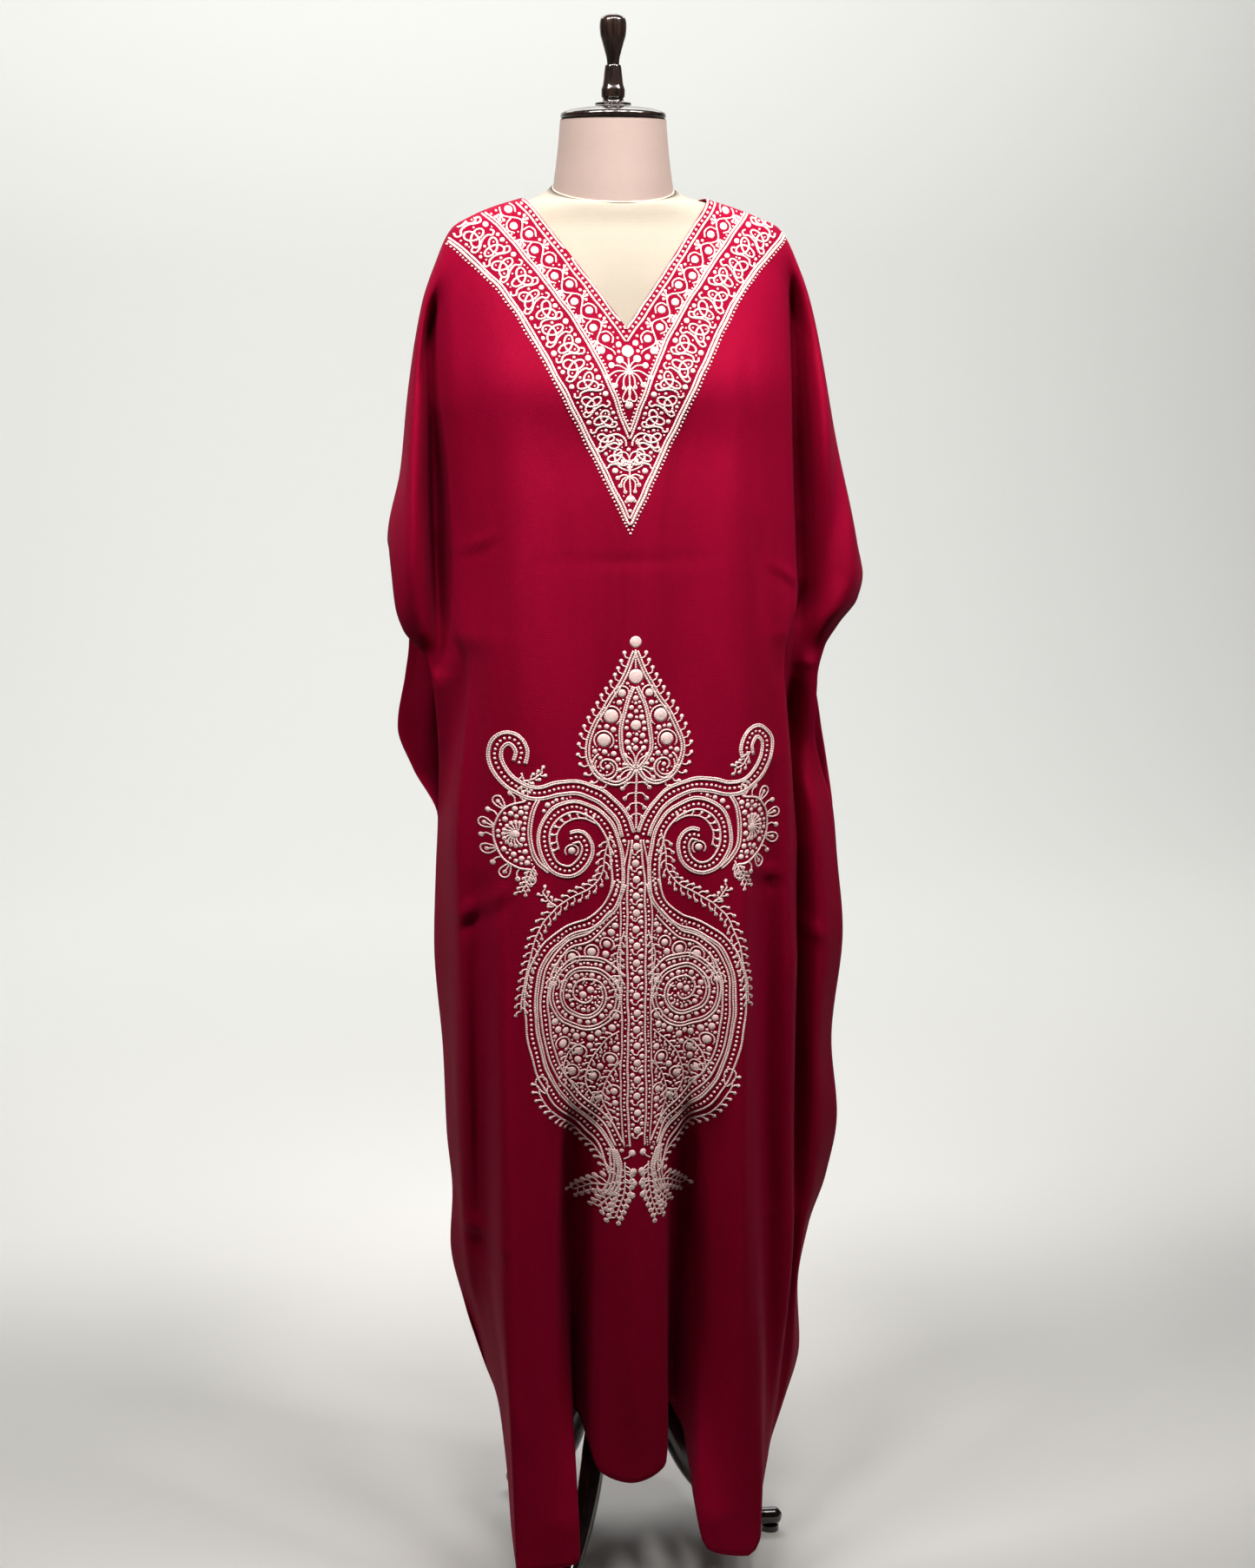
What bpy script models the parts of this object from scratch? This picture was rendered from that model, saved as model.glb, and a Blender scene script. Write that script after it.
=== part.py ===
"""Long V-neck kaftan hanging on a limbless dress form with a turned tripod stand.

Metres, +Z up, the front faces -Y. The model is worked out about the pole's axis
with the floor at z = 0, and is then moved so that the origin is the middle of the
bottom of its box.
"""

import math

import bmesh
import bpy
import numpy as np
from mathutils import Matrix, Vector

# Kaftan: driving sizes
WALL = 0.0016
SEAM_GAP = 0.0003
SHOULDER_POINT_X = 0.103
SHOULDER_POINT_Z = 1.600
FRONT_NECK_Z = 1.459
BACK_NECK_Z = 1.583
HALF_CLOTH = 0.55
NECK_SHARE = SHOULDER_POINT_X / HALF_CLOTH
CORNER_Z = {"left": 1.222, "right": 1.183}
SEAM_Y = 0.010
SETTLE_DROP = 0.35
FOLD_ROUNDING = 0.12
CLOTH_OVER_FORM = 0.0042
CHEST_Z = 1.50
FREE_HANG_Z = 1.27
PULL_START = 0.36
PULL_SPAN = 0.34
EDGE_STEPS = 400
BACK_NECK_POWER = 2.5
TOP_LIFT_POWER = 1.15
SEAM_BLEND = 0.006

# Kaftan: half widths of the hanging cloth at each height, and how far the two
# sleeve edges stand in front of and behind the side seam
OUTLINE_COLUMNS = ("z", "left_front", "left_back", "right_front", "right_back", "edge_front", "edge_back")
OUTLINE = (
    (1.600, 0.103, 0.103, 0.103, 0.103, 0.000, 0.000),
    (1.592, 0.130, 0.130, 0.131, 0.131, 0.000, 0.000),
    (1.582, 0.155, 0.155, 0.159, 0.159, 0.000, 0.000),
    (1.567, 0.180, 0.180, 0.190, 0.190, 0.000, 0.000),
    (1.530, 0.198, 0.198, 0.210, 0.210, 0.000, 0.000),
    (1.484, 0.214, 0.214, 0.226, 0.226, 0.000, 0.000),
    (1.386, 0.231, 0.231, 0.246, 0.246, 0.020, 0.020),
    (1.302, 0.240, 0.240, 0.263, 0.263, 0.034, 0.028),
    (1.222, 0.256, 0.256, 0.281, 0.281, 0.042, 0.030),
    (1.183, 0.254, 0.243, 0.289, 0.289, 0.044, 0.030),
    (1.150, 0.251, 0.234, 0.280, 0.268, 0.044, 0.042),
    (1.122, 0.242, 0.230, 0.257, 0.250, 0.044, 0.050),
    (1.095, 0.220, 0.231, 0.240, 0.243, 0.042, 0.052),
    (1.060, 0.210, 0.236, 0.233, 0.246, 0.038, 0.050),
    (1.000, 0.204, 0.246, 0.233, 0.254, 0.026, 0.042),
    (0.955, 0.202, 0.230, 0.243, 0.258, 0.012, 0.024),
    (0.900, 0.203, 0.203, 0.261, 0.261, 0.000, 0.000),
    (0.840, 0.206, 0.206, 0.267, 0.267, 0.000, 0.000),
    (0.750, 0.209, 0.209, 0.275, 0.275, 0.000, 0.000),
    (0.620, 0.200, 0.200, 0.263, 0.263, 0.000, 0.000),
    (0.525, 0.197, 0.197, 0.271, 0.271, 0.000, 0.000),
    (0.450, 0.191, 0.191, 0.258, 0.258, 0.000, 0.000),
    (0.390, 0.194, 0.194, 0.238, 0.238, 0.000, 0.000),
    (0.310, 0.178, 0.178, 0.225, 0.225, 0.000, 0.000),
    (0.240, 0.157, 0.157, 0.228, 0.228, 0.000, 0.000),
    (0.170, 0.134, 0.134, 0.211, 0.211, 0.000, 0.000),
    (0.110, 0.127, 0.127, 0.189, 0.189, 0.000, 0.000),
    (0.030, 0.119, 0.119, 0.178, 0.178, 0.000, 0.000),
)

# Kaftan: the standing folds across each half, from the middle out. A row gives each
# ridge or valley its name and its share of the half width of the cloth
FRONT_FOLDS = (
    ("centre_ridge", 0.000),
    ("pipe_side", 0.085),
    ("inner_valley", 0.175),
    ("column_inside", 0.290),
    ("column_outside", 0.400),
    ("shallow_dip", 0.490),
    ("body_edge", 0.580),
    ("side_pocket", 0.700),
    ("wing_ridge", 0.850),
    ("seam_edge", 1.000),
)
BACK_FOLDS = (
    ("centre_ridge", 0.000),
    ("inner_valley", 0.200),
    ("outer_ridge", 0.440),
    ("side_pocket", 0.680),
    ("wing_ridge", 0.860),
    ("seam_edge", 1.000),
)

# Kaftan: height of the hem at shares of the half width
FRONT_HEM = {
    "left": (
        (0.000, 0.146), (0.085, 0.158), (0.150, 0.190), (0.200, 0.176), (0.260, 0.068), (0.330, 0.046),
        (0.400, 0.042), (0.490, 0.050), (0.580, 0.070), (0.700, 0.095), (0.850, 0.085), (1.000, 0.070),
    ),
    "right": (
        (0.000, 0.146), (0.085, 0.158), (0.130, 0.196), (0.210, 0.196), (0.270, 0.098), (0.320, 0.054),
        (0.370, 0.046), (0.400, 0.062), (0.490, 0.080), (0.580, 0.095), (0.700, 0.105), (0.850, 0.085),
        (1.000, 0.070),
    ),
}
BACK_HEM = (
    (0.000, 0.090), (0.200, 0.120), (0.440, 0.060), (0.680, 0.100), (0.860, 0.080), (1.000, 0.070),
)

# Kaftan: depth of each fold, a row for each in the order above and a column for
# each height, with the two outer folds given for each side
FOLD_HEIGHTS = (1.50, 1.25, 1.10, 1.00, 0.70, 0.40, 0.22, 0.04)
FRONT_DEPTH = (
    (-0.098, -0.137, -0.143, -0.146, -0.151, -0.158, -0.160, -0.160),
    (-0.097, -0.136, -0.142, -0.145, -0.149, -0.149, -0.146, -0.143),
    (-0.094, -0.133, -0.139, -0.141, -0.143, -0.098, -0.052, -0.034),
    (-0.088, -0.126, -0.134, -0.138, -0.147, -0.154, -0.157, -0.160),
    (-0.078, -0.106, -0.118, -0.124, -0.134, -0.147, -0.152, -0.154),
    (-0.066, -0.088, -0.094, -0.098, -0.104, -0.098, -0.104, -0.116),
    (-0.050, -0.068, -0.076, -0.082, -0.088, -0.080, -0.080, -0.082),
)
FRONT_SIDE_DEPTH = {
    "left": (
        (-0.042, -0.052, -0.058, -0.060, -0.056, -0.048, -0.048, -0.048),
        (-0.034, -0.056, -0.050, -0.038, -0.026, -0.022, -0.020, -0.020),
    ),
    "right": (
        (-0.042, -0.040, -0.046, -0.042, -0.018, -0.024, -0.034, -0.046),
        (-0.034, -0.060, -0.050, -0.032, -0.034, -0.032, -0.030, -0.018),
    ),
}
BACK_DEPTH = (
    (0.100, 0.114, 0.124, 0.130, 0.140, 0.148, 0.152, 0.155),
    (0.096, 0.108, 0.116, 0.121, 0.118, 0.102, 0.094, 0.086),
    (0.088, 0.104, 0.114, 0.120, 0.132, 0.140, 0.144, 0.147),
)
BACK_SIDE_DEPTH = {
    "left": (
        (0.066, 0.052, 0.064, 0.074, 0.078, 0.066, 0.060, 0.056),
        (0.050, 0.072, 0.064, 0.052, 0.046, 0.040, 0.036, 0.034),
    ),
    "right": (
        (0.066, 0.052, 0.060, 0.064, 0.058, 0.056, 0.055, 0.054),
        (0.050, 0.072, 0.066, 0.056, 0.056, 0.046, 0.042, 0.034),
    ),
}

# Kaftan: distance of the inner folds from the middle at the same heights. The dip
# and the outermost folds lie at set parts of the way between their neighbours
FRONT_REACH = {
    "left": (
        (0.020, 0.022, 0.020, 0.019, 0.018, 0.029, 0.037, 0.040),
        (0.044, 0.046, 0.040, 0.037, 0.036, 0.049, 0.053, 0.055),
        (0.080, 0.106, 0.108, 0.110, 0.110, 0.086, 0.070, 0.062),
        (0.112, 0.142, 0.147, 0.148, 0.147, 0.146, 0.140, 0.134),
        (0.158, 0.176, 0.187, 0.190, 0.183, 0.168, 0.142, 0.132),
        (0.192, 0.192, 0.197, 0.196, 0.193, 0.182, 0.145, 0.127),
    ),
    "right": (
        (0.020, 0.022, 0.021, 0.021, 0.021, 0.032, 0.038, 0.041),
        (0.044, 0.047, 0.043, 0.041, 0.042, 0.057, 0.061, 0.062),
        (0.080, 0.110, 0.116, 0.120, 0.124, 0.102, 0.088, 0.078),
        (0.115, 0.152, 0.148, 0.145, 0.143, 0.147, 0.149, 0.150),
        (0.168, 0.203, 0.206, 0.206, 0.204, 0.200, 0.184, 0.158),
        (0.200, 0.230, 0.216, 0.214, 0.219, 0.212, 0.198, 0.165),
    ),
}
BACK_REACH = {
    "left": (
        (0.060, 0.062, 0.064, 0.064, 0.062, 0.056, 0.050, 0.045),
        (0.120, 0.132, 0.136, 0.138, 0.130, 0.118, 0.098, 0.082),
        (0.174, 0.190, 0.188, 0.186, 0.172, 0.154, 0.128, 0.108),
    ),
    "right": (
        (0.060, 0.064, 0.066, 0.068, 0.070, 0.066, 0.063, 0.060),
        (0.124, 0.140, 0.146, 0.150, 0.152, 0.142, 0.132, 0.120),
        (0.180, 0.208, 0.208, 0.208, 0.210, 0.190, 0.174, 0.150),
    ),
}
DIP_PART = 0.55
WING_PART = {"front": 0.34, "back": 0.52}

# Kaftan: the grid of each panel, as shares of the half width from the middle out,
# and heights of its cross lines on the middle of the cloth
FRONT_SHARES = (
    0.000, 0.036, 0.073, 0.110, 0.140, 0.163, 0.177, 0.1845, NECK_SHARE,
    0.220, 0.270, 0.320, 0.370, 0.425, 0.480, 0.540, 0.600, 0.660, 0.720, 0.790, 0.860, 0.930, 1.000,
)
BACK_SHARES = (
    0.000, 0.050, 0.100, 0.145, 0.174, NECK_SHARE,
    0.240, 0.310, 0.380, 0.450, 0.530, 0.610, 0.690, 0.780, 0.860, 0.930, 1.000,
)
CROSS_HEIGHTS = (
    1.600, 1.598, 1.592, 1.582, 1.568, 1.550, 1.528, 1.500, 1.460, 1.410,
    1.355, 1.300, 1.245, 1.190, 1.140, 1.095, 1.050, 1.005, 0.955, 0.900,
    0.840, 0.770, 0.700, 0.625, 0.550, 0.475, 0.400, 0.320, 0.240, 0.160, 0.095, 0.040,
)
TOP_LIFT_END_Z = 0.93
HEM_LIFT_START_Z = 0.62

# Dress form: half width, front depth and back depth at each height
FORM_ROUNDNESS = 2.3
FORM_SECTIONS = (
    (0.840, 0.150, 0.096, 0.096),
    (0.865, 0.163, 0.106, 0.104),
    (0.950, 0.170, 0.112, 0.108),
    (1.050, 0.152, 0.100, 0.096),
    (1.130, 0.134, 0.090, 0.082),
    (1.220, 0.143, 0.101, 0.084),
    (1.310, 0.158, 0.117, 0.090),
    (1.380, 0.167, 0.119, 0.094),
    (1.450, 0.173, 0.104, 0.094),
    (1.500, 0.177, 0.089, 0.088),
    (1.535, 0.178, 0.075, 0.075),
    (1.559, 0.1745, 0.064, 0.064),
    (1.571, 0.1630, 0.059, 0.059),
    (1.5795, 0.1500, 0.057, 0.057),
    (1.5895, 0.1265, 0.056, 0.056),
    (1.597, 0.1000, 0.056, 0.056),
    (1.603, 0.0820, 0.058, 0.058),
    (1.610, 0.0700, 0.061, 0.061),
)
FORM_SIDES = 32
NECK_TILT = 0.24
NECK_TILT_START_Z = 1.597
NECK_SECTIONS = ((1.6103, 0.0672), (1.624, 0.0655), (1.650, 0.0622), (1.686, 0.0590))
NECK_SIDES = 40

# Cap plate and finial on the neck: radius and height of each turned step
CAP_PROFILE = (
    (0.0560, 1.6863), (0.0585, 1.6882), (0.0590, 1.6905), (0.0580, 1.6930),
    (0.0520, 1.6958), (0.0400, 1.6985), (0.0260, 1.7005), (0.0150, 1.7014),
)
FINIAL_PROFILE = (
    (0.0200, 1.7017), (0.0202, 1.7040), (0.0120, 1.7060), (0.0113, 1.7090), (0.0130, 1.7110),
    (0.0132, 1.7180), (0.0115, 1.7240), (0.0082, 1.7310), (0.0066, 1.7400), (0.0070, 1.7500),
    (0.0090, 1.7590), (0.0118, 1.7690), (0.0146, 1.7800), (0.0150, 1.7870), (0.0142, 1.7940),
    (0.0105, 1.7985), (0.0045, 1.8005),
)
TURNED_SIDES = 28
POLE_SIDES = 20
SHARP_ANGLE = math.radians(40.0)

# Stand: base plate, pole, hub and three curved legs
BASE_PLATE_RADIUS = 0.062
BASE_PLATE_TOP_Z = 0.8397
BASE_PLATE_BOTTOM_Z = 0.827
POLE_RADIUS = 0.0125
POLE_BOTTOM_Z = 0.2503
HUB_PROFILE = (
    (0.0150, 0.1300), (0.0210, 0.1330), (0.0230, 0.1400), (0.0225, 0.2050),
    (0.0260, 0.2120), (0.0265, 0.2200), (0.0230, 0.2280), (0.0180, 0.2380), (0.0165, 0.2500),
)
FIRST_LEG_ANGLE = math.radians(28.0)
LEG_COUNT = 3
LEG_SIDES = 10
LEG_STEPS = (
    (0.0231, 0.1780, 0.0130),
    (0.0330, 0.1840, 0.0150),
    (0.0460, 0.1790, 0.0155),
    (0.0610, 0.1560, 0.0150),
    (0.0740, 0.1290, 0.0145),
    (0.0880, 0.1000, 0.0140),
    (0.1060, 0.0720, 0.0130),
    (0.1270, 0.0480, 0.0120),
    (0.1500, 0.0300, 0.0110),
    (0.1740, 0.0200, 0.0105),
    (0.1960, 0.0180, 0.0110),
    (0.2080, 0.0200, 0.0100),
)
FOOT_RADIUS = 0.0105
FOOT_REACH = 0.1940
FOOT_HEIGHT = 0.0072

# Colours as linear red, green and blue, with roughness
CLOTH_MAROON = (0.30, 0.0015, 0.027)
BUST_CREAM = (0.90, 0.80, 0.62)
NECK_CREAM = (0.84, 0.66, 0.53)
BLACK_LACQUER = (0.012, 0.009, 0.009)


def clear_scene():
    """Remove every object that the start file holds."""
    for old in list(bpy.data.objects):
        bpy.data.objects.remove(old, do_unlink=True)


def make_material(name, colour, roughness, metallic=0.0):
    """Principled material with the colour and gloss of the real piece."""
    material = bpy.data.materials.new(name)
    material.use_nodes = True
    shader = material.node_tree.nodes["Principled BSDF"]
    shader.inputs["Base Color"].default_value = (*colour, 1.0)
    shader.inputs["Roughness"].default_value = roughness
    shader.inputs["Metallic"].default_value = metallic
    return material


def add_object(name, mesh, material):
    """Link a finished mesh as one named, smooth shaded object."""
    mesh.materials.append(material)
    mesh.shade_smooth()
    mesh.set_sharp_from_angle(angle=SHARP_ANGLE)
    piece = bpy.data.objects.new(name, mesh)
    bpy.context.scene.collection.objects.link(piece)
    return piece


def mesh_from(name, points, faces):
    """Mesh from an array of points and a list of faces, all turned outwards."""
    mesh = bpy.data.meshes.new(name)
    mesh.from_pydata([tuple(point) for point in points], [], faces)
    body = bmesh.new()
    body.from_mesh(mesh)
    bmesh.ops.recalc_face_normals(body, faces=body.faces)
    body.to_mesh(mesh)
    body.free()
    return mesh


def smooth_curve(knots, values, at, level_start=False):
    """Smooth curve through the knots that keeps each rise and fall.

    Each span is a cubic. Its slope at a knot is the harmonic mean of the slopes of
    the two spans that meet there, or zero where they turn.
    """
    knots = np.asarray(knots, float)
    values = np.asarray(values, float)
    at = np.clip(np.asarray(at, float), knots[0], knots[-1])
    if values.ndim == 1:
        values = np.repeat(values[:, None], at.size, axis=1)
    else:
        values = values.reshape(len(knots), -1)
    where = at.ravel()
    span = np.diff(knots)[:, None]
    rise = np.diff(values, axis=0) / span
    slope = np.empty_like(values)
    turning = rise[:-1] * rise[1:] <= 0.0
    total = np.where(turning, 1.0, rise[:-1] + rise[1:])
    slope[1:-1] = np.where(turning, 0.0, 2.0 * rise[:-1] * rise[1:] / total)
    slope[0] = 0.0 if level_start else rise[0]
    slope[-1] = rise[-1]
    index = np.clip(np.searchsorted(knots, where, side="right") - 1, 0, len(knots) - 2)
    column = np.arange(where.size)
    width = span[index, 0]
    s = (where - knots[index]) / width
    start = values[index, column]
    end = values[index + 1, column]
    slope_start = slope[index, column] * width
    slope_end = slope[index + 1, column] * width
    result = (
        start * (1 + 2 * s) * (1 - s) ** 2
        + slope_start * s * (1 - s) ** 2
        + end * s ** 2 * (3 - 2 * s)
        + slope_end * s ** 2 * (s - 1)
    )
    return result.reshape(at.shape)


def ease(value):
    """Smooth step from 0 to 1."""
    value = np.clip(value, 0.0, 1.0)
    return value * value * (3.0 - 2.0 * value)


def outline_at(column, height):
    """One column of the outline table at the given heights."""
    place = OUTLINE_COLUMNS.index(column)
    heights = [row[0] for row in reversed(OUTLINE)]
    values = [row[place] for row in reversed(OUTLINE)]
    return smooth_curve(heights, values, height)


def form_depth_at(height, place):
    """Front (place 2) or back (place 3) depth of the dress form at the heights."""
    heights = [row[0] for row in FORM_SECTIONS]
    values = [row[place] for row in FORM_SECTIONS]
    return smooth_curve(heights, values, height)


def top_edge(side, panel, share):
    """Reach and height of the top edge at each share of the half width.

    From the middle to the shoulder point it is the neckline. From there it runs
    along the shoulder and down the hanging outer fold to the sleeve's corner, at
    even steps of its own length.
    """
    share = np.asarray(share, float)
    heights = np.linspace(SHOULDER_POINT_Z, CORNER_Z[side], EDGE_STEPS)
    reach = outline_at(f"{side}_{panel}", heights)
    length = np.concatenate([[0.0], np.cumsum(np.hypot(np.diff(reach), np.diff(heights)))])
    along = np.clip((share - NECK_SHARE) / (1.0 - NECK_SHARE), 0.0, 1.0) * length[-1]
    fold_reach = np.interp(along, length, reach)
    fold_height = np.interp(along, length, heights)
    part = np.clip(share / NECK_SHARE, 0.0, 1.0)
    if panel == "front":
        neck_height = FRONT_NECK_Z + (SHOULDER_POINT_Z - FRONT_NECK_Z) * part
    else:
        neck_height = BACK_NECK_Z + (SHOULDER_POINT_Z - BACK_NECK_Z) * part ** BACK_NECK_POWER
    in_neck = share < NECK_SHARE
    top_reach = np.where(in_neck, SHOULDER_POINT_X * part, fold_reach)
    top_height = np.where(in_neck, neck_height, fold_height)
    return top_reach, top_height


def fold_value(rows, height):
    """Value of every fold row at the given heights, rows first."""
    knots = FOLD_HEIGHTS[::-1]
    return np.stack([smooth_curve(knots, row[::-1], height) for row in rows])


def fold_reaches(side, panel, height, edge):
    """Distance from the middle of every fold at the heights, from 0 to the edge."""
    if panel == "front":
        *inner, outside, body, pocket = fold_value(FRONT_REACH[side], height)
        folds = [*inner, outside, outside + DIP_PART * (body - outside), body, pocket]
    else:
        folds = list(fold_value(BACK_REACH[side], height))
    wing = folds[-1] + WING_PART[panel] * (edge - folds[-1])
    return np.stack([np.zeros_like(height), *folds, wing, edge])


def half_panel(side, panel, shares, cross_heights):
    """Points of one half of a panel, as rows down the cloth and columns outwards.

    Reach: each column starts at the top edge and drifts, as it falls, to where the
    folds put it. Depth: a superellipse over the shoulders and chest, which turns
    into the folds lower down, rounded off over the outer fold of the sleeve.
    """
    front = panel == "front"
    sign = -1.0 if front else 1.0
    folds = FRONT_FOLDS if front else BACK_FOLDS
    depths = FRONT_DEPTH + FRONT_SIDE_DEPTH[side] if front else BACK_DEPTH + BACK_SIDE_DEPTH[side]
    outline = f"{side}_{panel}"
    knots = [row[1] for row in folds]
    shares = np.asarray(shares, float)
    level = np.asarray(cross_heights, float)[:, None]
    share = np.broadcast_to(shares, (level.size, shares.size))
    top_reach, top_height = top_edge(side, panel, share)
    hem_rows = FRONT_HEM[side] if front else BACK_HEM
    hem = smooth_curve([row[0] for row in hem_rows], [row[1] for row in hem_rows], shares, True)
    top_part = np.clip((level - TOP_LIFT_END_Z) / (SHOULDER_POINT_Z - TOP_LIFT_END_Z), 0.0, 1.0)
    top_lift = (top_height - SHOULDER_POINT_Z) * top_part ** TOP_LIFT_POWER
    hem_floor = cross_heights[-1]
    hem_part = ease((HEM_LIFT_START_Z - level) / (HEM_LIFT_START_Z - hem_floor))
    height = level + top_lift + (hem - hem_floor) * hem_part
    edge = outline_at(outline, height)
    folds_at = fold_reaches(side, panel, height, edge)
    settled = ease((top_height - height) / SETTLE_DROP)
    reach = top_reach * (1.0 - settled) + smooth_curve(knots, folds_at, share) * settled
    corner_settled = ease((CORNER_Z[side] - height) / SETTLE_DROP)
    corner_reach = outline_at(outline, np.array(CORNER_Z[side]))
    free_edge = corner_reach * (1.0 - corner_settled) + edge * corner_settled
    pulled_in = np.where(height < CORNER_Z[side], edge / free_edge, 1.0)
    reach = reach * (1.0 - (1.0 - pulled_in) * ease((share - PULL_START) / PULL_SPAN))
    form_depth = form_depth_at(height, 2 if front else 3) + CLOTH_OVER_FORM
    ratio = np.clip(reach / edge, 0.0, 1.0)
    rounded = (1.0 - ratio ** FORM_ROUNDNESS) ** (1.0 / FORM_ROUNDNESS)
    over_form = SEAM_Y + (sign * form_depth - SEAM_Y) * rounded
    seam_side = SEAM_Y + sign * outline_at("edge_front" if front else "edge_back", height)
    fold_depths = np.concatenate([fold_value(depths, height), seam_side[None]])
    folded = smooth_curve(knots, fold_depths, share, True)
    ridge_height = np.where(share < NECK_SHARE, SHOULDER_POINT_Z, top_height)
    fallen = np.clip((ridge_height - height) / FOLD_ROUNDING, 0.0, 1.0)
    folded = SEAM_Y + (folded - SEAM_Y) * np.sqrt(1.0 - (1.0 - fallen) ** 2)
    free = ease((CHEST_Z - height) / (CHEST_Z - FREE_HANG_Z))
    depth = over_form * (1.0 - free) + folded * free
    gap_side = SEAM_Y + sign * SEAM_GAP / 2
    depth = np.minimum(depth, gap_side) if front else np.maximum(depth, gap_side)
    x = -reach if side == "left" else reach
    return np.stack([x, depth, height], axis=-1)


def panel_points(panel, shares, cross_heights):
    """Whole panel: left half turned round and joined to the right half."""
    left = half_panel("left", panel, shares, cross_heights)
    right = half_panel("right", panel, shares, cross_heights)
    middle = (left[:, :1] + right[:, :1]) / 2
    return np.concatenate([left[:, :0:-1], middle, right[:, 1:]], axis=1)


def grid_normals(grid, outward):
    """Unit normals of a grid of points, pointing to the outward side in y.

    Where an edge lies in the seam, between the two panels, its normal is kept
    square to the y axis, so that the two walls end face to face.
    """
    down = np.gradient(grid, axis=0)
    across = np.gradient(grid, axis=1)
    normal = np.cross(across, down)
    normal /= np.linalg.norm(normal, axis=-1, keepdims=True)
    middle = normal[grid.shape[0] // 2, grid.shape[1] // 2]
    if middle[1] * outward < 0:
        normal = -normal
    from_seam = np.abs(grid[..., 1] - SEAM_Y) - SEAM_GAP
    beside_seam = np.clip(1.0 - from_seam / SEAM_BLEND, 0.0, 1.0)
    on_edge = np.zeros(grid.shape[:2])
    on_edge[:, 0] = 1.0
    on_edge[:, -1] = 1.0
    on_edge[0] = 1.0
    normal[..., 1] *= 1.0 - beside_seam * on_edge
    return normal / np.linalg.norm(normal, axis=-1, keepdims=True)


def wall_mesh(name, grid, outward):
    """Closed wall of even thickness about a grid of points.

    Both faces of the wall split each cell along its shorter diagonal.
    """
    rows, columns = grid.shape[:2]
    normal = grid_normals(grid, outward)
    outer = (grid + normal * WALL / 2).reshape(-1, 3)
    inner = (grid - normal * WALL / 2).reshape(-1, 3)
    count = rows * columns
    at = np.arange(count).reshape(rows, columns)
    fall_out = np.linalg.norm(grid[:-1, :-1] - grid[1:, 1:], axis=-1)
    fall_in = np.linalg.norm(grid[:-1, 1:] - grid[1:, :-1], axis=-1)
    faces = []
    for row in range(rows - 1):
        for column in range(columns - 1):
            a, b = at[row, column], at[row, column + 1]
            c, d = at[row + 1, column + 1], at[row + 1, column]
            if fall_out[row, column] <= fall_in[row, column]:
                halves = ((a, b, c), (a, c, d))
            else:
                halves = ((a, b, d), (b, c, d))
            for half in halves:
                faces.append(half)
                faces.append(tuple(corner + count for corner in reversed(half)))
    rim = [*at[0, :-1], *at[:-1, -1], *at[-1, :0:-1], *at[:0:-1, 0]]
    for here, after in zip(rim, rim[1:] + rim[:1]):
        faces.append((after, here, here + count, after + count))
    return mesh_from(name, np.concatenate([outer, inner]), faces)


def make_kaftan():
    """Front and back panels, each cut in one with its half of both sleeves."""
    cloth = make_material("maroon_wool", CLOTH_MAROON, 0.62)
    front = panel_points("front", FRONT_SHARES, CROSS_HEIGHTS)
    back = panel_points("back", BACK_SHARES, CROSS_HEIGHTS)
    return [
        add_object("kaftan_front", wall_mesh("kaftan_front", front, -1.0), cloth),
        add_object("kaftan_back", wall_mesh("kaftan_back", back, 1.0), cloth),
    ]


def loft_mesh(name, rings):
    """Closed body through rings of equal point count, with flat ends."""
    sides = len(rings[0])
    points = np.concatenate(rings)
    faces = [tuple(range(sides))]
    for level in range(len(rings) - 1):
        for side in range(sides):
            after = (side + 1) % sides
            low = level * sides
            faces.append((low + side, low + after, low + sides + after, low + sides + side))
    last = (len(rings) - 1) * sides
    faces.append(tuple(range(last + sides - 1, last - 1, -1)))
    return mesh_from(name, points, faces)


def oval_ring(height, half_width, front, back, sides, tilt=0.0):
    """Superellipse ring, flatter than an ellipse, that may tilt with its depth."""
    angle = np.arange(sides) * 2.0 * math.pi / sides
    power = 2.0 / FORM_ROUNDNESS
    cosine = np.cos(angle)
    sine = np.sin(angle)
    x = half_width * np.sign(cosine) * np.abs(cosine) ** power
    deep = np.where(sine < 0.0, front, back)
    y = deep * np.sign(sine) * np.abs(sine) ** power
    return np.stack([x, y, height + tilt * y], axis=-1)


def round_ring(height, radius, sides, tilt=0.0):
    """Round ring that may tilt with its depth."""
    angle = np.arange(sides) * 2.0 * math.pi / sides
    y = radius * np.sin(angle)
    return np.stack([radius * np.cos(angle), y, height + tilt * y], axis=-1)


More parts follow.
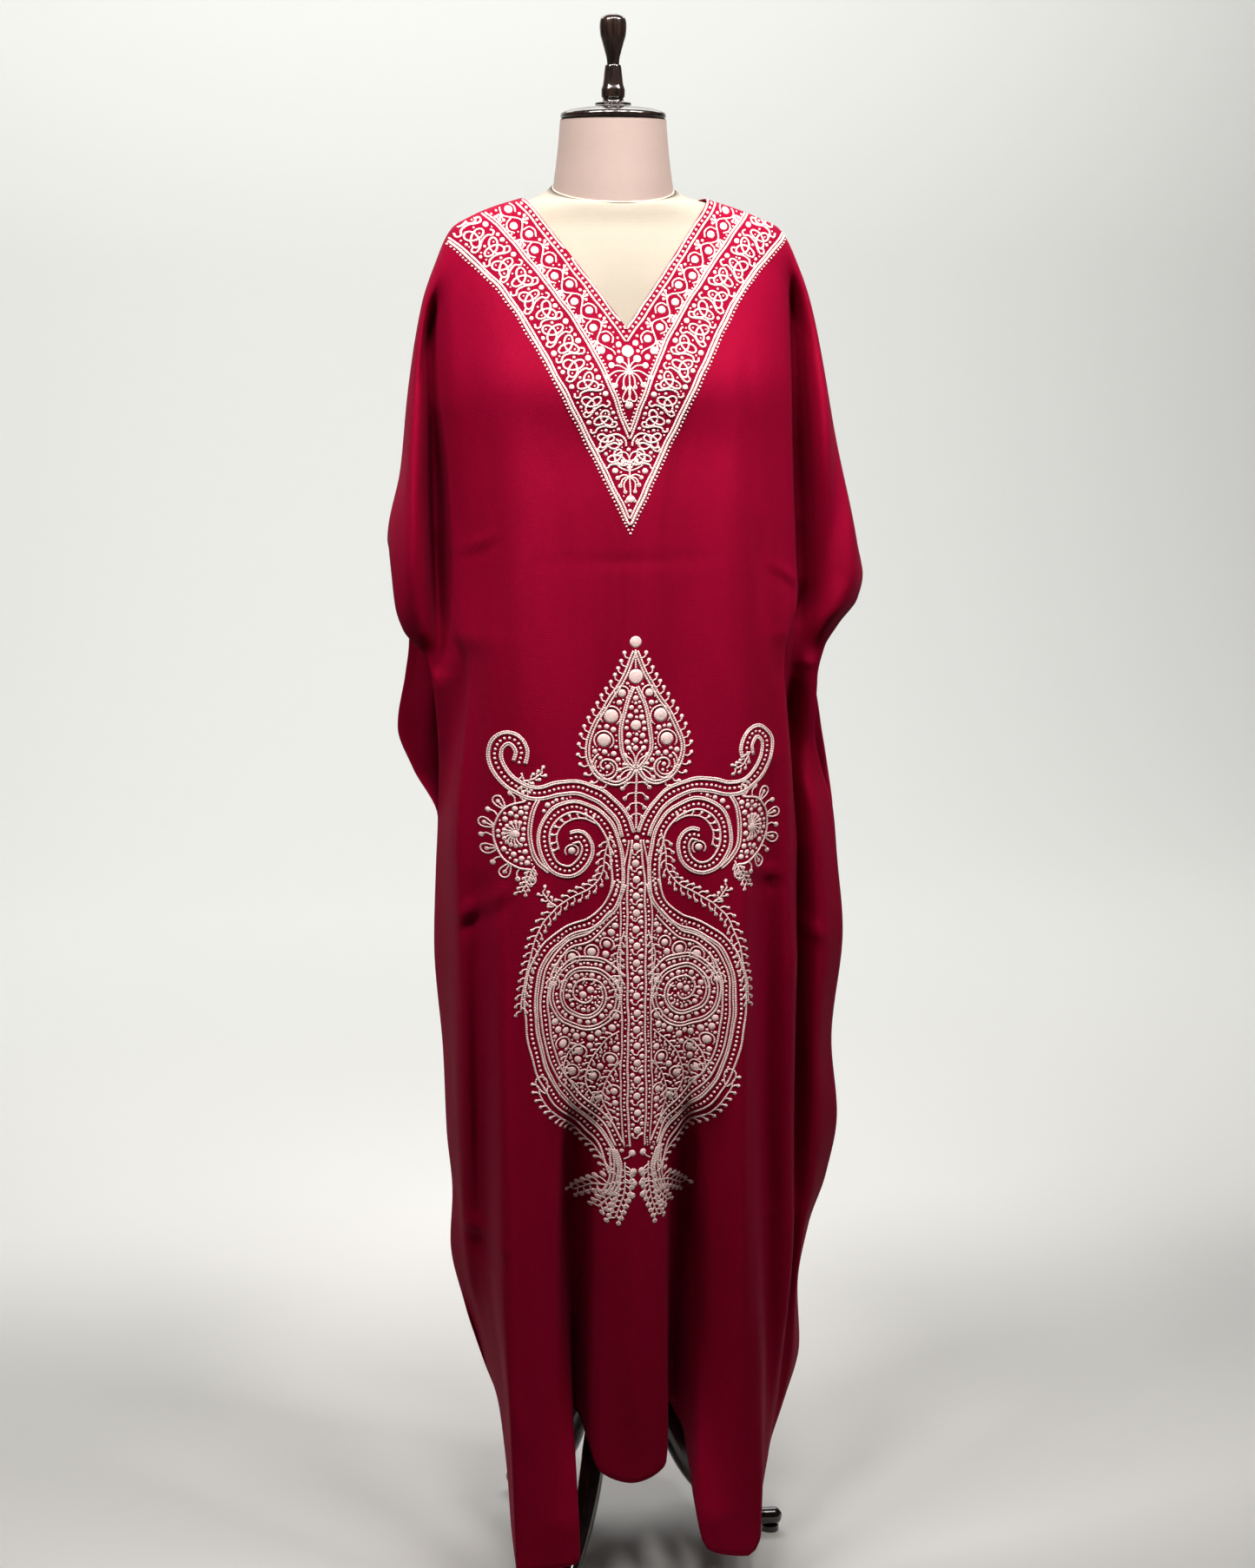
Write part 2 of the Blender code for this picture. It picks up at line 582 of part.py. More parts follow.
def make_form():
    """Smooth padded bust without arms, and its neck above a tilted seam."""
    bust_cloth = make_material("cream_jersey", BUST_CREAM, 0.75)
    neck_cloth = make_material("neck_jersey", NECK_CREAM, 0.7)
    rings = []
    top = FORM_SECTIONS[-1][0]
    for height, half_width, front, back in FORM_SECTIONS:
        part = max(0.0, (height - NECK_TILT_START_Z) / (top - NECK_TILT_START_Z))
        rings.append(oval_ring(height, half_width, front, back, FORM_SIDES, NECK_TILT * part))
    bust = add_object("form_bust", loft_mesh("form_bust", rings), bust_cloth)
    neck_rings = []
    last = NECK_SECTIONS[-1][0]
    first = NECK_SECTIONS[0][0]
    for height, radius in NECK_SECTIONS:
        tilt = NECK_TILT * (last - height) / (last - first)
        neck_rings.append(round_ring(height, radius, NECK_SIDES, tilt))
    neck = add_object("form_neck", loft_mesh("form_neck", neck_rings), neck_cloth)
    return [bust, neck]


def turned_mesh(name, profile, sides):
    """Closed turned body from a profile of radius and height."""
    return loft_mesh(name, [round_ring(height, radius, sides) for radius, height in profile])


def make_cap_and_finial(lacquer):
    """Domed cap plate on the neck and the turned finial that screws into it."""
    return [
        add_object("neck_cap", turned_mesh("neck_cap", CAP_PROFILE, TURNED_SIDES), lacquer),
        add_object("finial", turned_mesh("finial", FINIAL_PROFILE, TURNED_SIDES), lacquer),
    ]


def leg_mesh(name):
    """Curved leg along +X: round rings square to its path, with flat ends."""
    path = np.array([(reach, 0.0, height) for reach, height, _ in LEG_STEPS])
    heading = np.gradient(path, axis=0)
    heading[0] = (1.0, 0.0, 0.0)
    heading /= np.linalg.norm(heading, axis=1, keepdims=True)
    side = np.array([0.0, 1.0, 0.0])
    angle = np.arange(LEG_SIDES) * 2.0 * math.pi / LEG_SIDES
    rings = []
    for centre, ahead, step in zip(path, heading, LEG_STEPS):
        up = np.cross(ahead, side)
        radius = step[2]
        rings.append(centre + radius * (np.cos(angle)[:, None] * side + np.sin(angle)[:, None] * up))
    return loft_mesh(name, rings)


def make_stand(lacquer):
    """Base plate, pole, turned hub, and three legs with a flat pad under each."""
    pieces = []
    plate = [(BASE_PLATE_RADIUS, BASE_PLATE_BOTTOM_Z), (BASE_PLATE_RADIUS, BASE_PLATE_TOP_Z)]
    plate_mesh = turned_mesh("stand_base_plate", plate, TURNED_SIDES)
    pieces.append(add_object("stand_base_plate", plate_mesh, lacquer))
    pole = [(POLE_RADIUS, POLE_BOTTOM_Z), (POLE_RADIUS, BASE_PLATE_BOTTOM_Z - SEAM_GAP)]
    pieces.append(add_object("stand_pole", turned_mesh("stand_pole", pole, POLE_SIDES), lacquer))
    pieces.append(add_object("stand_hub", turned_mesh("stand_hub", HUB_PROFILE, TURNED_SIDES), lacquer))
    for number in range(LEG_COUNT):
        turn = -math.pi / 2 - FIRST_LEG_ANGLE - number * 2.0 * math.pi / LEG_COUNT
        spin = Matrix.Rotation(turn, 4, "Z")
        leg = add_object(f"stand_leg_{number + 1}", leg_mesh(f"stand_leg_{number + 1}"), lacquer)
        leg.matrix_world = spin
        pad = [(FOOT_RADIUS, 0.0), (FOOT_RADIUS, FOOT_HEIGHT)]
        foot_mesh = turned_mesh(f"stand_foot_{number + 1}", pad, POLE_SIDES)
        foot = add_object(f"stand_foot_{number + 1}", foot_mesh, lacquer)
        foot.location = spin @ Vector((FOOT_REACH, 0.0, 0.0))
        pieces += [leg, foot]
    return pieces


def centre_on_floor(pieces):
    """Move every piece so that the middle of the box's bottom is the origin."""
    bpy.context.view_layer.update()
    corners = [piece.matrix_world @ vertex.co for piece in pieces for vertex in piece.data.vertices]
    low = [min(corner[axis] for corner in corners) for axis in range(3)]
    high = [max(corner[axis] for corner in corners) for axis in range(3)]
    shift = Vector((-(low[0] + high[0]) / 2, -(low[1] + high[1]) / 2, -low[2]))
    for piece in pieces:
        piece.location += shift
    bpy.context.view_layer.update()


def main():
    clear_scene()
    lacquer = make_material("black_lacquer", BLACK_LACQUER, 0.16)
    pieces = make_kaftan() + make_form() + make_cap_and_finial(lacquer) + make_stand(lacquer)
    centre_on_floor(pieces)


main()
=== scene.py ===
import math

import bpy
import numpy as np
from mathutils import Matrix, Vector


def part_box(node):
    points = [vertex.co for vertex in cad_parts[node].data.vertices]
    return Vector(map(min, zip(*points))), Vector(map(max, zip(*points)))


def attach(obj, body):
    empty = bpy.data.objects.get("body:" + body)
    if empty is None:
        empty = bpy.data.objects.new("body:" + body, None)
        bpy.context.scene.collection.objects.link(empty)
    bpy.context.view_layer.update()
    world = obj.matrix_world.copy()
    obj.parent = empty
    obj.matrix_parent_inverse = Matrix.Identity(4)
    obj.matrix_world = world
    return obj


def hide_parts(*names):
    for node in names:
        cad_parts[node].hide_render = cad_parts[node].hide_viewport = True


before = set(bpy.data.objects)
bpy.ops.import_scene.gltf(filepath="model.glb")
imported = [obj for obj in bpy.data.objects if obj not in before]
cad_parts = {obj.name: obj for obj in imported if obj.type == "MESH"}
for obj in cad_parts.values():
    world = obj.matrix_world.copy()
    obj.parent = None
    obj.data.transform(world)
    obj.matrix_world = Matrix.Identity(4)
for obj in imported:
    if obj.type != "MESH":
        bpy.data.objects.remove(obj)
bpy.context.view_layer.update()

# Where the pole stands. Every size below is worked out about its axis, with the floor
# at height 0, as a stand maker sets everything on the pole.
pole_low, pole_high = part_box("stand_pole")
AXIS = np.array([(pole_low[0] + pole_high[0]) / 2, (pole_low[1] + pole_high[1]) / 2, 0.0])


# Studio: a pale paper backdrop that sweeps up from the floor behind the stand, a row of
# ceiling spots over the front, weaker lamps for the side, wall and floor, and a camera
# a little left of the front that looks slightly down, as in the photograph.
IMAGE_WIDTH, IMAGE_HEIGHT = 1445, 1806
CAMERA_PLACE = np.array([-0.4295, -3.1711, 1.5000])
CAMERA_DOWN = math.radians(10.0)
CAMERA_TURN = math.radians(-8.0)
FOCAL_PIXELS = 3229.0
SENSOR_LONG_SIDE = 36.0
SWEEP_HALF_WIDTH = 9.0
SWEEP_FRONT_Y = -5.5
SWEEP_BACK_Y = 5.2
SWEEP_RADIUS = 1.6
SWEEP_TOP_Z = 6.5
SWEEP_FLOOR_STEPS = 8
SWEEP_TURN_STEPS = 24
BACKDROP_GREY = (0.72, 0.72, 0.70)

camera_data = bpy.data.cameras.new("camera")
camera_data.sensor_width = SENSOR_LONG_SIDE
camera_data.lens = FOCAL_PIXELS * SENSOR_LONG_SIDE / max(IMAGE_WIDTH, IMAGE_HEIGHT)
camera_data.clip_end = 50.0
camera = bpy.data.objects.new("camera", camera_data)
camera.location = CAMERA_PLACE + AXIS
camera.rotation_euler = (math.pi / 2 - CAMERA_DOWN, 0.0, CAMERA_TURN)
bpy.context.scene.collection.objects.link(camera)
bpy.context.scene.camera = camera


def set_inputs(node, values):
    """Set the named or numbered inputs of a node to constant values."""
    for key, value in values.items():
        node.inputs[key].default_value = value


def new_material(name, colour, roughness, values=None):
    """Principled material with a constant colour and roughness, and its shader.

    values holds the shader's other inputs.
    """
    material = bpy.data.materials.new(name)
    material.use_nodes = True
    shader = material.node_tree.nodes["Principled BSDF"]
    set_inputs(shader, {"Base Color": (*colour, 1.0), "Roughness": roughness, **(values or {})})
    return material, shader


def add_node(material, kind, values=None, **settings):
    """Add a shader node, with its properties and the constant values of its inputs."""
    node = material.node_tree.nodes.new(kind)
    for key, value in settings.items():
        setattr(node, key, value)
    set_inputs(node, values or {})
    return node


def wire(material, source, output, target, entry):
    """Link one node's output to another's input."""
    material.node_tree.links.new(source.outputs[output], target.inputs[entry])


def grid_quads(rows, columns, wrap=False):
    """Quads of a grid of points numbered row by row, as an array of four corners.

    Each quad runs across a row, down a column and back. With wrap the last column
    meets the first.
    """
    number = np.arange(rows * columns).reshape(rows, columns)
    if wrap:
        number = np.concatenate([number, number[:, :1]], axis=1)
    corners = (number[:-1, :-1], number[:-1, 1:], number[1:, 1:], number[1:, :-1])
    return np.stack(corners, axis=-1).reshape(-1, 4)


def make_piece(name, points, faces, material, layers=None):
    """Smooth shaded mesh object at the origin from points and a list of faces.

    layers holds UV maps: a name, and a pair of numbers for each point.
    """
    mesh = bpy.data.meshes.new(name)
    mesh.from_pydata(np.asarray(points).tolist(), [], [list(map(int, face)) for face in faces])
    corner = np.empty(len(mesh.loops), dtype=np.int64)
    mesh.loops.foreach_get("vertex_index", corner)
    for layer, pairs in (layers or {}).items():
        uv = mesh.uv_layers.new(name=layer)
        uv.data.foreach_set("uv", np.asarray(pairs, dtype=np.float32)[corner].ravel())
    mesh.polygons.foreach_set("use_smooth", np.ones(len(mesh.polygons), dtype=bool))
    mesh.materials.append(material)
    mesh.update()
    piece = bpy.data.objects.new(name, mesh)
    bpy.context.scene.collection.objects.link(piece)
    return piece


sweep_turn = np.linspace(0.0, math.pi / 2, SWEEP_TURN_STEPS)
sweep_y = np.concatenate([
    np.linspace(SWEEP_FRONT_Y, SWEEP_BACK_Y - SWEEP_RADIUS, SWEEP_FLOOR_STEPS),
    SWEEP_BACK_Y - SWEEP_RADIUS + SWEEP_RADIUS * np.sin(sweep_turn[1:]),
    [SWEEP_BACK_Y],
])
sweep_z = np.concatenate([
    np.zeros(SWEEP_FLOOR_STEPS),
    SWEEP_RADIUS * (1.0 - np.cos(sweep_turn[1:])),
    [SWEEP_TOP_Z],
])
sweep_x = np.linspace(-SWEEP_HALF_WIDTH, SWEEP_HALF_WIDTH, 3)
sweep_grid = np.stack(
    np.broadcast_arrays(sweep_x[None, :], sweep_y[:, None], sweep_z[:, None]), axis=-1)
paper = new_material("backdrop_paper", BACKDROP_GREY, 0.9)[0]
backdrop = make_piece(
    "backdrop", sweep_grid.reshape(-1, 3), grid_quads(*sweep_grid.shape[:2])[:, ::-1], paper)


def hang_lamp(name, kind, place, target, power, colour):
    """Lamp of a kind at a place, turned to face a target, and its settings."""
    data = bpy.data.lights.new(name, kind)
    data.energy = power
    data.color = colour
    lamp = bpy.data.objects.new(name, data)
    lamp.location = place
    way = np.asarray(target) - np.asarray(place)
    lamp.rotation_euler = (
        math.atan2(math.hypot(way[0], way[1]), -way[2]), 0.0, math.atan2(-way[0], way[1]))
    bpy.context.scene.collection.objects.link(lamp)
    return data


SPOT_PLACES_X = (-1.5, -0.9, -0.3, 0.3, 0.9, 1.5)
SPOT_Y = -0.84
SPOT_Z = 3.00
SPOT_TARGET = (0.0, 0.0, 1.53)
SPOT_POWER = 105.0
SPOT_WARM_WHITE = (1.0, 0.955, 0.92)
SPOT_RADIUS = 0.20
SPOT_CONE = math.radians(52.0)
for number, place_x in enumerate(SPOT_PLACES_X):
    spot = hang_lamp(
        f"ceiling_spot_{number + 1}", "SPOT", (place_x, SPOT_Y, SPOT_Z), SPOT_TARGET, SPOT_POWER,
        SPOT_WARM_WHITE)
    spot.shadow_soft_size = SPOT_RADIUS
    spot.spot_size = SPOT_CONE
    spot.spot_blend = 1.0

# The weaker lamps: a name, a place, what it faces, its two sides, power and colour.
SOFT_LAMPS = (
    ("side_lamp", (2.4, -2.2, 1.9), (0.0, 0.0, 0.9), (1.6, 2.2), 0.4, (0.93, 0.96, 1.0)),
    ("wall_lamp", (0.0, 3.0, 3.6), (0.0, 5.2, 0.9), (6.0, 0.8), 140.0, (1.0, 1.0, 0.99)),
    ("floor_lamp", (0.0, 2.3, 3.4), (0.0, 1.9, 0.0), (5.0, 1.6), 64.0, (1.0, 1.0, 0.99)),
)
for name, place, target, sides, power, colour in SOFT_LAMPS:
    panel_lamp = hang_lamp(name, "AREA", place, target, power, colour)
    panel_lamp.shape = "RECTANGLE"
    panel_lamp.size, panel_lamp.size_y = sides

# The room is dim round the form, and pale where it is seen past the backdrop.
AIR_COLOUR = (0.82, 0.83, 0.81, 1.0)
AIR_GLOW = 0.012
AIR_SEEN = 0.80
world = bpy.data.worlds.new("studio_air")
world.use_nodes = True
room_light = world.node_tree.nodes["Background"]
set_inputs(room_light, {"Color": AIR_COLOUR, "Strength": AIR_GLOW})
room_view = add_node(world, "ShaderNodeBackground", {"Color": AIR_COLOUR, "Strength": AIR_SEEN})
room_ray = add_node(world, "ShaderNodeLightPath")
room_mix = add_node(world, "ShaderNodeMixShader")
wire(world, room_ray, "Is Camera Ray", room_mix, 0)
wire(world, room_light, "Background", room_mix, 1)
wire(world, room_view, "Background", room_mix, 2)
wire(world, room_mix, "Shader", world.node_tree.nodes["World Output"], "Surface")
bpy.context.scene.world = world
bpy.context.scene.view_settings.view_transform = "Standard"


# Stand: a turned hub and a pole of beech, three carved legs dowelled into the hub, and
# a flat pad under each foot. All are stained dark and finished with black gloss lacquer.
LACQUER_BLACK = (0.012, 0.0085, 0.008)
LACQUER_DARK_GRAIN = (0.006, 0.0045, 0.0042)
LACQUER_LIGHT_GRAIN = (0.030, 0.0150, 0.0110)
# Radius and height of each turned step, from the bottom up.
HUB_PROFILE = (
    (0.0150, 0.1300), (0.0210, 0.1330), (0.0230, 0.1400), (0.0225, 0.2050),
    (0.0260, 0.2120), (0.0265, 0.2200), (0.0230, 0.2280), (0.0180, 0.2380), (0.0165, 0.2500),
)
FIRST_LEG_ANGLE = math.radians(28.0)
LEG_COUNT = 3
# Along a leg: distance from the pole's axis, height and radius.
LEG_STEPS = (
    (0.0231, 0.1780, 0.0130),
    (0.0330, 0.1840, 0.0150),
    (0.0460, 0.1790, 0.0155),
    (0.0610, 0.1560, 0.0150),
    (0.0740, 0.1290, 0.0145),
    (0.0880, 0.1000, 0.0140),
    (0.1060, 0.0720, 0.0130),
    (0.1270, 0.0480, 0.0120),
    (0.1500, 0.0300, 0.0110),
    (0.1740, 0.0200, 0.0105),
    (0.1960, 0.0180, 0.0110),
    (0.2080, 0.0200, 0.0100),
)
LEG_RING_POINTS = 40
LEG_RING_COUNT = 120
TOE_LENGTH = 0.008
TOE_TIP_SHARE = 0.02
TURNED_POINTS = 96


def smooth_curve(knots, values, at, level_start=False):
    """Smooth curve through the knots that keeps each rise and fall.

    Each span is a cubic. Its slope at a knot is the harmonic mean of the slopes of
    the two spans that meet there, or zero where they turn. values may hold a column
    of its own for each place.
    """
    knots = np.asarray(knots, float)
    values = np.asarray(values, float)
    at = np.clip(np.asarray(at, float), knots[0], knots[-1])
    if values.ndim == 1:
        values = np.repeat(values[:, None], at.size, axis=1)
    else:
        values = values.reshape(len(knots), -1)
    where = at.ravel()
    span = np.diff(knots)[:, None]
    rise = np.diff(values, axis=0) / span
    slope = np.empty_like(values)
    level = rise[:-1] * rise[1:] <= 0.0
    total = np.where(level, 1.0, rise[:-1] + rise[1:])
    slope[1:-1] = np.where(level, 0.0, 2.0 * rise[:-1] * rise[1:] / total)
    slope[0] = 0.0 if level_start else rise[0]
    slope[-1] = rise[-1]
    index = np.clip(np.searchsorted(knots, where, side="right") - 1, 0, len(knots) - 2)
    column = np.arange(where.size)
    width = span[index, 0]
    s = (where - knots[index]) / width
    result = (
        values[index, column] * (1 + 2 * s) * (1 - s) ** 2
        + slope[index, column] * width * s * (1 - s) ** 2
        + values[index + 1, column] * s ** 2 * (3 - 2 * s)
        + slope[index + 1, column] * width * s ** 2 * (s - 1)
    )
    return result.reshape(at.shape)


def distance_along(line):
    """Distance along a line of points, from its start to each of them."""
    return np.concatenate([[0.0], np.cumsum(np.linalg.norm(np.diff(line, axis=0), axis=1))])


def rounded_profile(profile, steps, corner):
    """Profile of radius and height with every corner eased.

    It is resampled at even steps of its length, then averaged over a short stretch,
    with both ends kept.
    """
    profile = np.asarray(profile, float)
    length = distance_along(profile)
    at = np.linspace(0.0, length[-1], steps)
    radius = smooth_curve(length, profile[:, 0], at)
    height = smooth_curve(length, profile[:, 1], at)
    reach = max(1, int(corner / (at[1] - at[0])))
    kernel = np.ones(2 * reach + 1) / (2 * reach + 1)
    smooth_radius = np.convolve(np.pad(radius, reach, mode="edge"), kernel, mode="valid")
    longer_height = np.pad(height, reach, mode="reflect", reflect_type="odd")
    smooth_height = np.convolve(longer_height, kernel, mode="valid")
    return np.stack([smooth_radius, smooth_height], axis=-1)


def loft(name, rings, material, layers=None):
    """Closed body through rings of points that run upwards, with both ends capped."""
    rings = np.asarray(rings)
    count, sides = rings.shape[:2]
    faces = [list(range(sides - 1, -1, -1))]
    faces += grid_quads(count, sides, wrap=True)[:, ::-1].tolist()
    faces.append(list(range((count - 1) * sides, count * sides)))
    return make_piece(name, rings.reshape(-1, 3), faces, material, layers)


def turned(name, profile, material):
    """Turned body on the pole's axis: each radius and height swept round in a circle."""
    angle = np.arange(TURNED_POINTS) * 2.0 * math.pi / TURNED_POINTS
    x = profile[:, :1] * np.cos(angle)
    y = profile[:, :1] * np.sin(angle)
    z = np.broadcast_to(profile[:, 1:], x.shape)
    return loft(name, np.stack([x, y, z], axis=-1) + AXIS, material)


def stretched_noise(material, place, output, stretch, values):
    """Noise node that reads coordinates stretched by a scale for each direction."""
    mapping = add_node(material, "ShaderNodeMapping", {"Scale": stretch})
    noise = add_node(material, "ShaderNodeTexNoise", {"Scale": 1.0, **values})
    wire(material, place, output, mapping, "Vector")
    wire(material, mapping, "Vector", noise, "Vector")
    return noise


def colour_between(material, source, output, start, first, end, last):
    """Colour ramp that turns a node's value from start to end into the first colour,
    the last one or one between them."""
    ramp = add_node(material, "ShaderNodeValToRGB")
    for stop, position, colour in zip(ramp.color_ramp.elements, (start, end), (first, last)):
        stop.position = position
        stop.color = (*colour, 1.0)
    wire(material, source, output, ramp, "Fac")
    return ramp


def raised(material, source, output, strength, distance):
    """Bump node that takes its height from another node."""
    bump = add_node(material, "ShaderNodeBump", {"Strength": strength, "Distance": distance})
    wire(material, source, output, bump, "Height")
    return bump


def lacquer_material(name):
    """Black gloss lacquer over stained wood: a dark brown that shows through along
    the grain, fine polish marks in the roughness, and slight waves in the coat."""
    material, shader = new_material(
        name, LACQUER_BLACK, 0.16, {"Coat Weight": 0.7, "Coat Roughness": 0.06, "Specular IOR Level": 0.6})
    place = add_node(material, "ShaderNodeTexCoord")
    grain = stretched_noise(material, place, "Object", (260.0, 260.0, 18.0), {"Detail": 6.0})
    tone = colour_between(material, grain, "Fac", 0.38, LACQUER_DARK_GRAIN, 0.72, LACQUER_LIGHT_GRAIN)
    marks = add_node(material, "ShaderNodeTexNoise", {"Scale": 240.0, "Detail": 3.0})
    gloss = add_node(material, "ShaderNodeMapRange", {"To Min": 0.11, "To Max": 0.27})
    waves = add_node(material, "ShaderNodeTexNoise", {"Scale": 55.0})
    coat = raised(material, waves, "Fac", 0.10, 0.002)
    wire(material, place, "Object", marks, "Vector")
    wire(material, place, "Object", waves, "Vector")
    wire(material, marks, "Fac", gloss, "Value")
    wire(material, tone, "Color", shader, "Base Color")
    wire(material, gloss, "Result", shader, "Roughness")
    wire(material, coat, "Normal", shader, "Normal")
    return material


lacquer = lacquer_material("black_lacquer_finish")
for node in ("stand_base_plate", "stand_pole", "stand_foot_1", "stand_foot_2", "stand_foot_3"):
    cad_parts[node].data.materials[0] = lacquer

hub = turned("turned_hub", rounded_profile(HUB_PROFILE, 140, 0.0012), lacquer)
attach(hub, "root")
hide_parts("stand_hub")

leg_reach, leg_height, leg_radius = np.array(LEG_STEPS).T
leg_length = distance_along(np.stack([leg_reach, leg_height], axis=-1))
leg_at = np.linspace(0.0, leg_length[-1], LEG_RING_COUNT)
leg_path = np.stack([
    smooth_curve(leg_length, leg_reach, leg_at),
    np.zeros(LEG_RING_COUNT),
    smooth_curve(leg_length, leg_height, leg_at),
], axis=-1)
leg_ahead = np.gradient(leg_path, axis=0)
leg_ahead[0] = (1.0, 0.0, 0.0)
leg_ahead /= np.linalg.norm(leg_ahead, axis=1, keepdims=True)
leg_side = np.array([0.0, 1.0, 0.0])
leg_up = np.cross(leg_ahead, leg_side)
leg_round = smooth_curve(leg_length, leg_radius, leg_at)
toe = np.clip((leg_length[-1] - leg_at) / TOE_LENGTH, 0.0, 1.0)
leg_round = leg_round * np.sqrt(np.clip(1.0 - (1.0 - toe) ** 2, TOE_TIP_SHARE, 1.0))
leg_angle = np.arange(LEG_RING_POINTS) * 2.0 * math.pi / LEG_RING_POINTS
leg_rings = leg_path[:, None] + leg_round[:, None, None] * (
    np.cos(leg_angle)[None, :, None] * leg_side - np.sin(leg_angle)[None, :, None] * leg_up[:, None]
)
for number in range(LEG_COUNT):
    turn = -math.pi / 2 - FIRST_LEG_ANGLE - number * 2.0 * math.pi / LEG_COUNT
    spin = np.array([
        [math.cos(turn), math.sin(turn), 0.0],
        [-math.sin(turn), math.cos(turn), 0.0],
        [0.0, 0.0, 1.0],
    ])
    leg = loft(f"carved_leg_{number + 1}", leg_rings @ spin + AXIS, lacquer)
    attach(leg, "root")
    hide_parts(f"stand_leg_{number + 1}")


# Cap and finial: a low domed plate of turned wood that closes the neck, and the turned
# knob that screws into it, both in the same black lacquer. The profiles hold the radius
# and height of each turned step, from the bottom up.
CAP_PROFILE = (
    (0.0560, 1.6863), (0.0585, 1.6882), (0.0590, 1.6905), (0.0580, 1.6930),
    (0.0520, 1.6958), (0.0400, 1.6985), (0.0260, 1.7005), (0.0150, 1.7014),
)
FINIAL_PROFILE = (
    (0.0200, 1.7017), (0.0202, 1.7040), (0.0120, 1.7060), (0.0113, 1.7090), (0.0130, 1.7110),
    (0.0132, 1.7180), (0.0115, 1.7240), (0.0082, 1.7455), (0.0066, 1.7400), (0.0070, 1.7500),
    (0.0090, 1.7590), (0.0118, 1.7690), (0.0146, 1.7800), (0.0150, 1.7870), (0.0142, 1.7940),
    (0.0105, 1.7985), (0.0045, 1.8005),
)

cap = turned("domed_cap_plate", rounded_profile(CAP_PROFILE, 120, 0.0005), lacquer)
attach(cap, "root")
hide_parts("neck_cap")
knob = turned("turned_finial", rounded_profile(FINIAL_PROFILE, 240, 0.0007), lacquer)
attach(knob, "root")
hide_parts("finial")


# Dress form: a limbless padded bust under cream jersey, pulled tight over it, and its
# neck under a pinker jersey. The two covers meet in a thin corded seam that tilts down
# at the front.
BUST_CREAM = (0.355, 0.315, 0.255)
BUST_MOTTLE = (0.325, 0.285, 0.225)
NECK_CREAM = (0.340, 0.258, 0.228)
NECK_MOTTLE = (0.315, 0.235, 0.205)
SEAM_CORD = (0.70, 0.54, 0.42)
FORM_ROUNDNESS = 2.3
# The bust at a height: half its width, its depth in front of the pole and behind it.
FORM_SECTIONS = (
    (0.840, 0.150, 0.096, 0.096),
    (0.865, 0.163, 0.106, 0.104),
    (0.950, 0.170, 0.112, 0.108),
    (1.050, 0.152, 0.100, 0.096),
    (1.130, 0.134, 0.090, 0.082),
    (1.220, 0.143, 0.101, 0.084),
    (1.310, 0.158, 0.117, 0.090),
    (1.380, 0.167, 0.119, 0.094),
    (1.450, 0.173, 0.104, 0.094),
    (1.500, 0.177, 0.089, 0.088),
    (1.535, 0.178, 0.075, 0.075),
    (1.559, 0.1745, 0.064, 0.064),
    (1.571, 0.1630, 0.059, 0.059),
    (1.5795, 0.1500, 0.057, 0.057),
    (1.5895, 0.1265, 0.056, 0.056),
    (1.597, 0.1000, 0.056, 0.056),
    (1.603, 0.0820, 0.058, 0.058),
    (1.610, 0.0700, 0.061, 0.061),
)
# The neck's radius at a height.
NECK_SECTIONS = ((1.6103, 0.0672), (1.624, 0.0655), (1.650, 0.0622), (1.686, 0.0590))
NECK_TILT = 0.24
NECK_TILT_START_Z = 1.597
JERSEY_INSET = 0.0008
THROAT_Z = 1.584
THROAT_RISE = 0.0145
THROAT_HALF_WIDTH = 0.055
THROAT_ABOVE = 0.025
THROAT_BELOW = 0.075
FORM_RING_POINTS = 160
FORM_RING_COUNT = 170
NECK_RING_COUNT = 60
BUST_COVER_RADIUS = 0.17
NECK_COVER_RADIUS = 0.063
SEAM_CORD_RADIUS = 0.0009
SEAM_CORD_POINTS = 10
SEAM_CORD_OUT = 1.004


def jersey_material(name, colour, mottle):
    """Tight cotton jersey: fine ribs of knit down the cover and rows of stitches across it,
    from its own UV map, in the bump, a soft sheen, and the slight mottle of handled pale cloth."""
    material, shader = new_material(name, colour, 0.72, {"Sheen Weight": 0.08, "Sheen Roughness": 0.5})
    cover = add_node(material, "ShaderNodeUVMap", uv_map="cover")
    ribs = add_node(
        material, "ShaderNodeTexWave", {"Scale": 180.0, "Distortion": 0.6, "Detail": 1.0},
        wave_type="BANDS", bands_direction="X")
    stitches = add_node(
        material, "ShaderNodeTexWave", {"Scale": 210.0, "Distortion": 0.4},
        wave_type="BANDS", bands_direction="Y")
    knit = add_node(material, "ShaderNodeMath", operation="MULTIPLY")
    relief = raised(material, knit, "Value", 0.35, 0.0004)
    place = add_node(material, "ShaderNodeTexCoord")
    handled = add_node(material, "ShaderNodeTexNoise", {"Scale": 9.0, "Detail": 5.0})
    tone = colour_between(material, handled, "Fac", 0.30, mottle, 0.62, colour)
    wire(material, cover, "UV", ribs, "Vector")
    wire(material, cover, "UV", stitches, "Vector")
    wire(material, ribs, "Color", knit, 0)
    wire(material, stitches, "Color", knit, 1)
    wire(material, place, "Object", handled, "Vector")
    wire(material, relief, "Normal", shader, "Normal")
    wire(material, tone, "Color", shader, "Base Color")
    return material


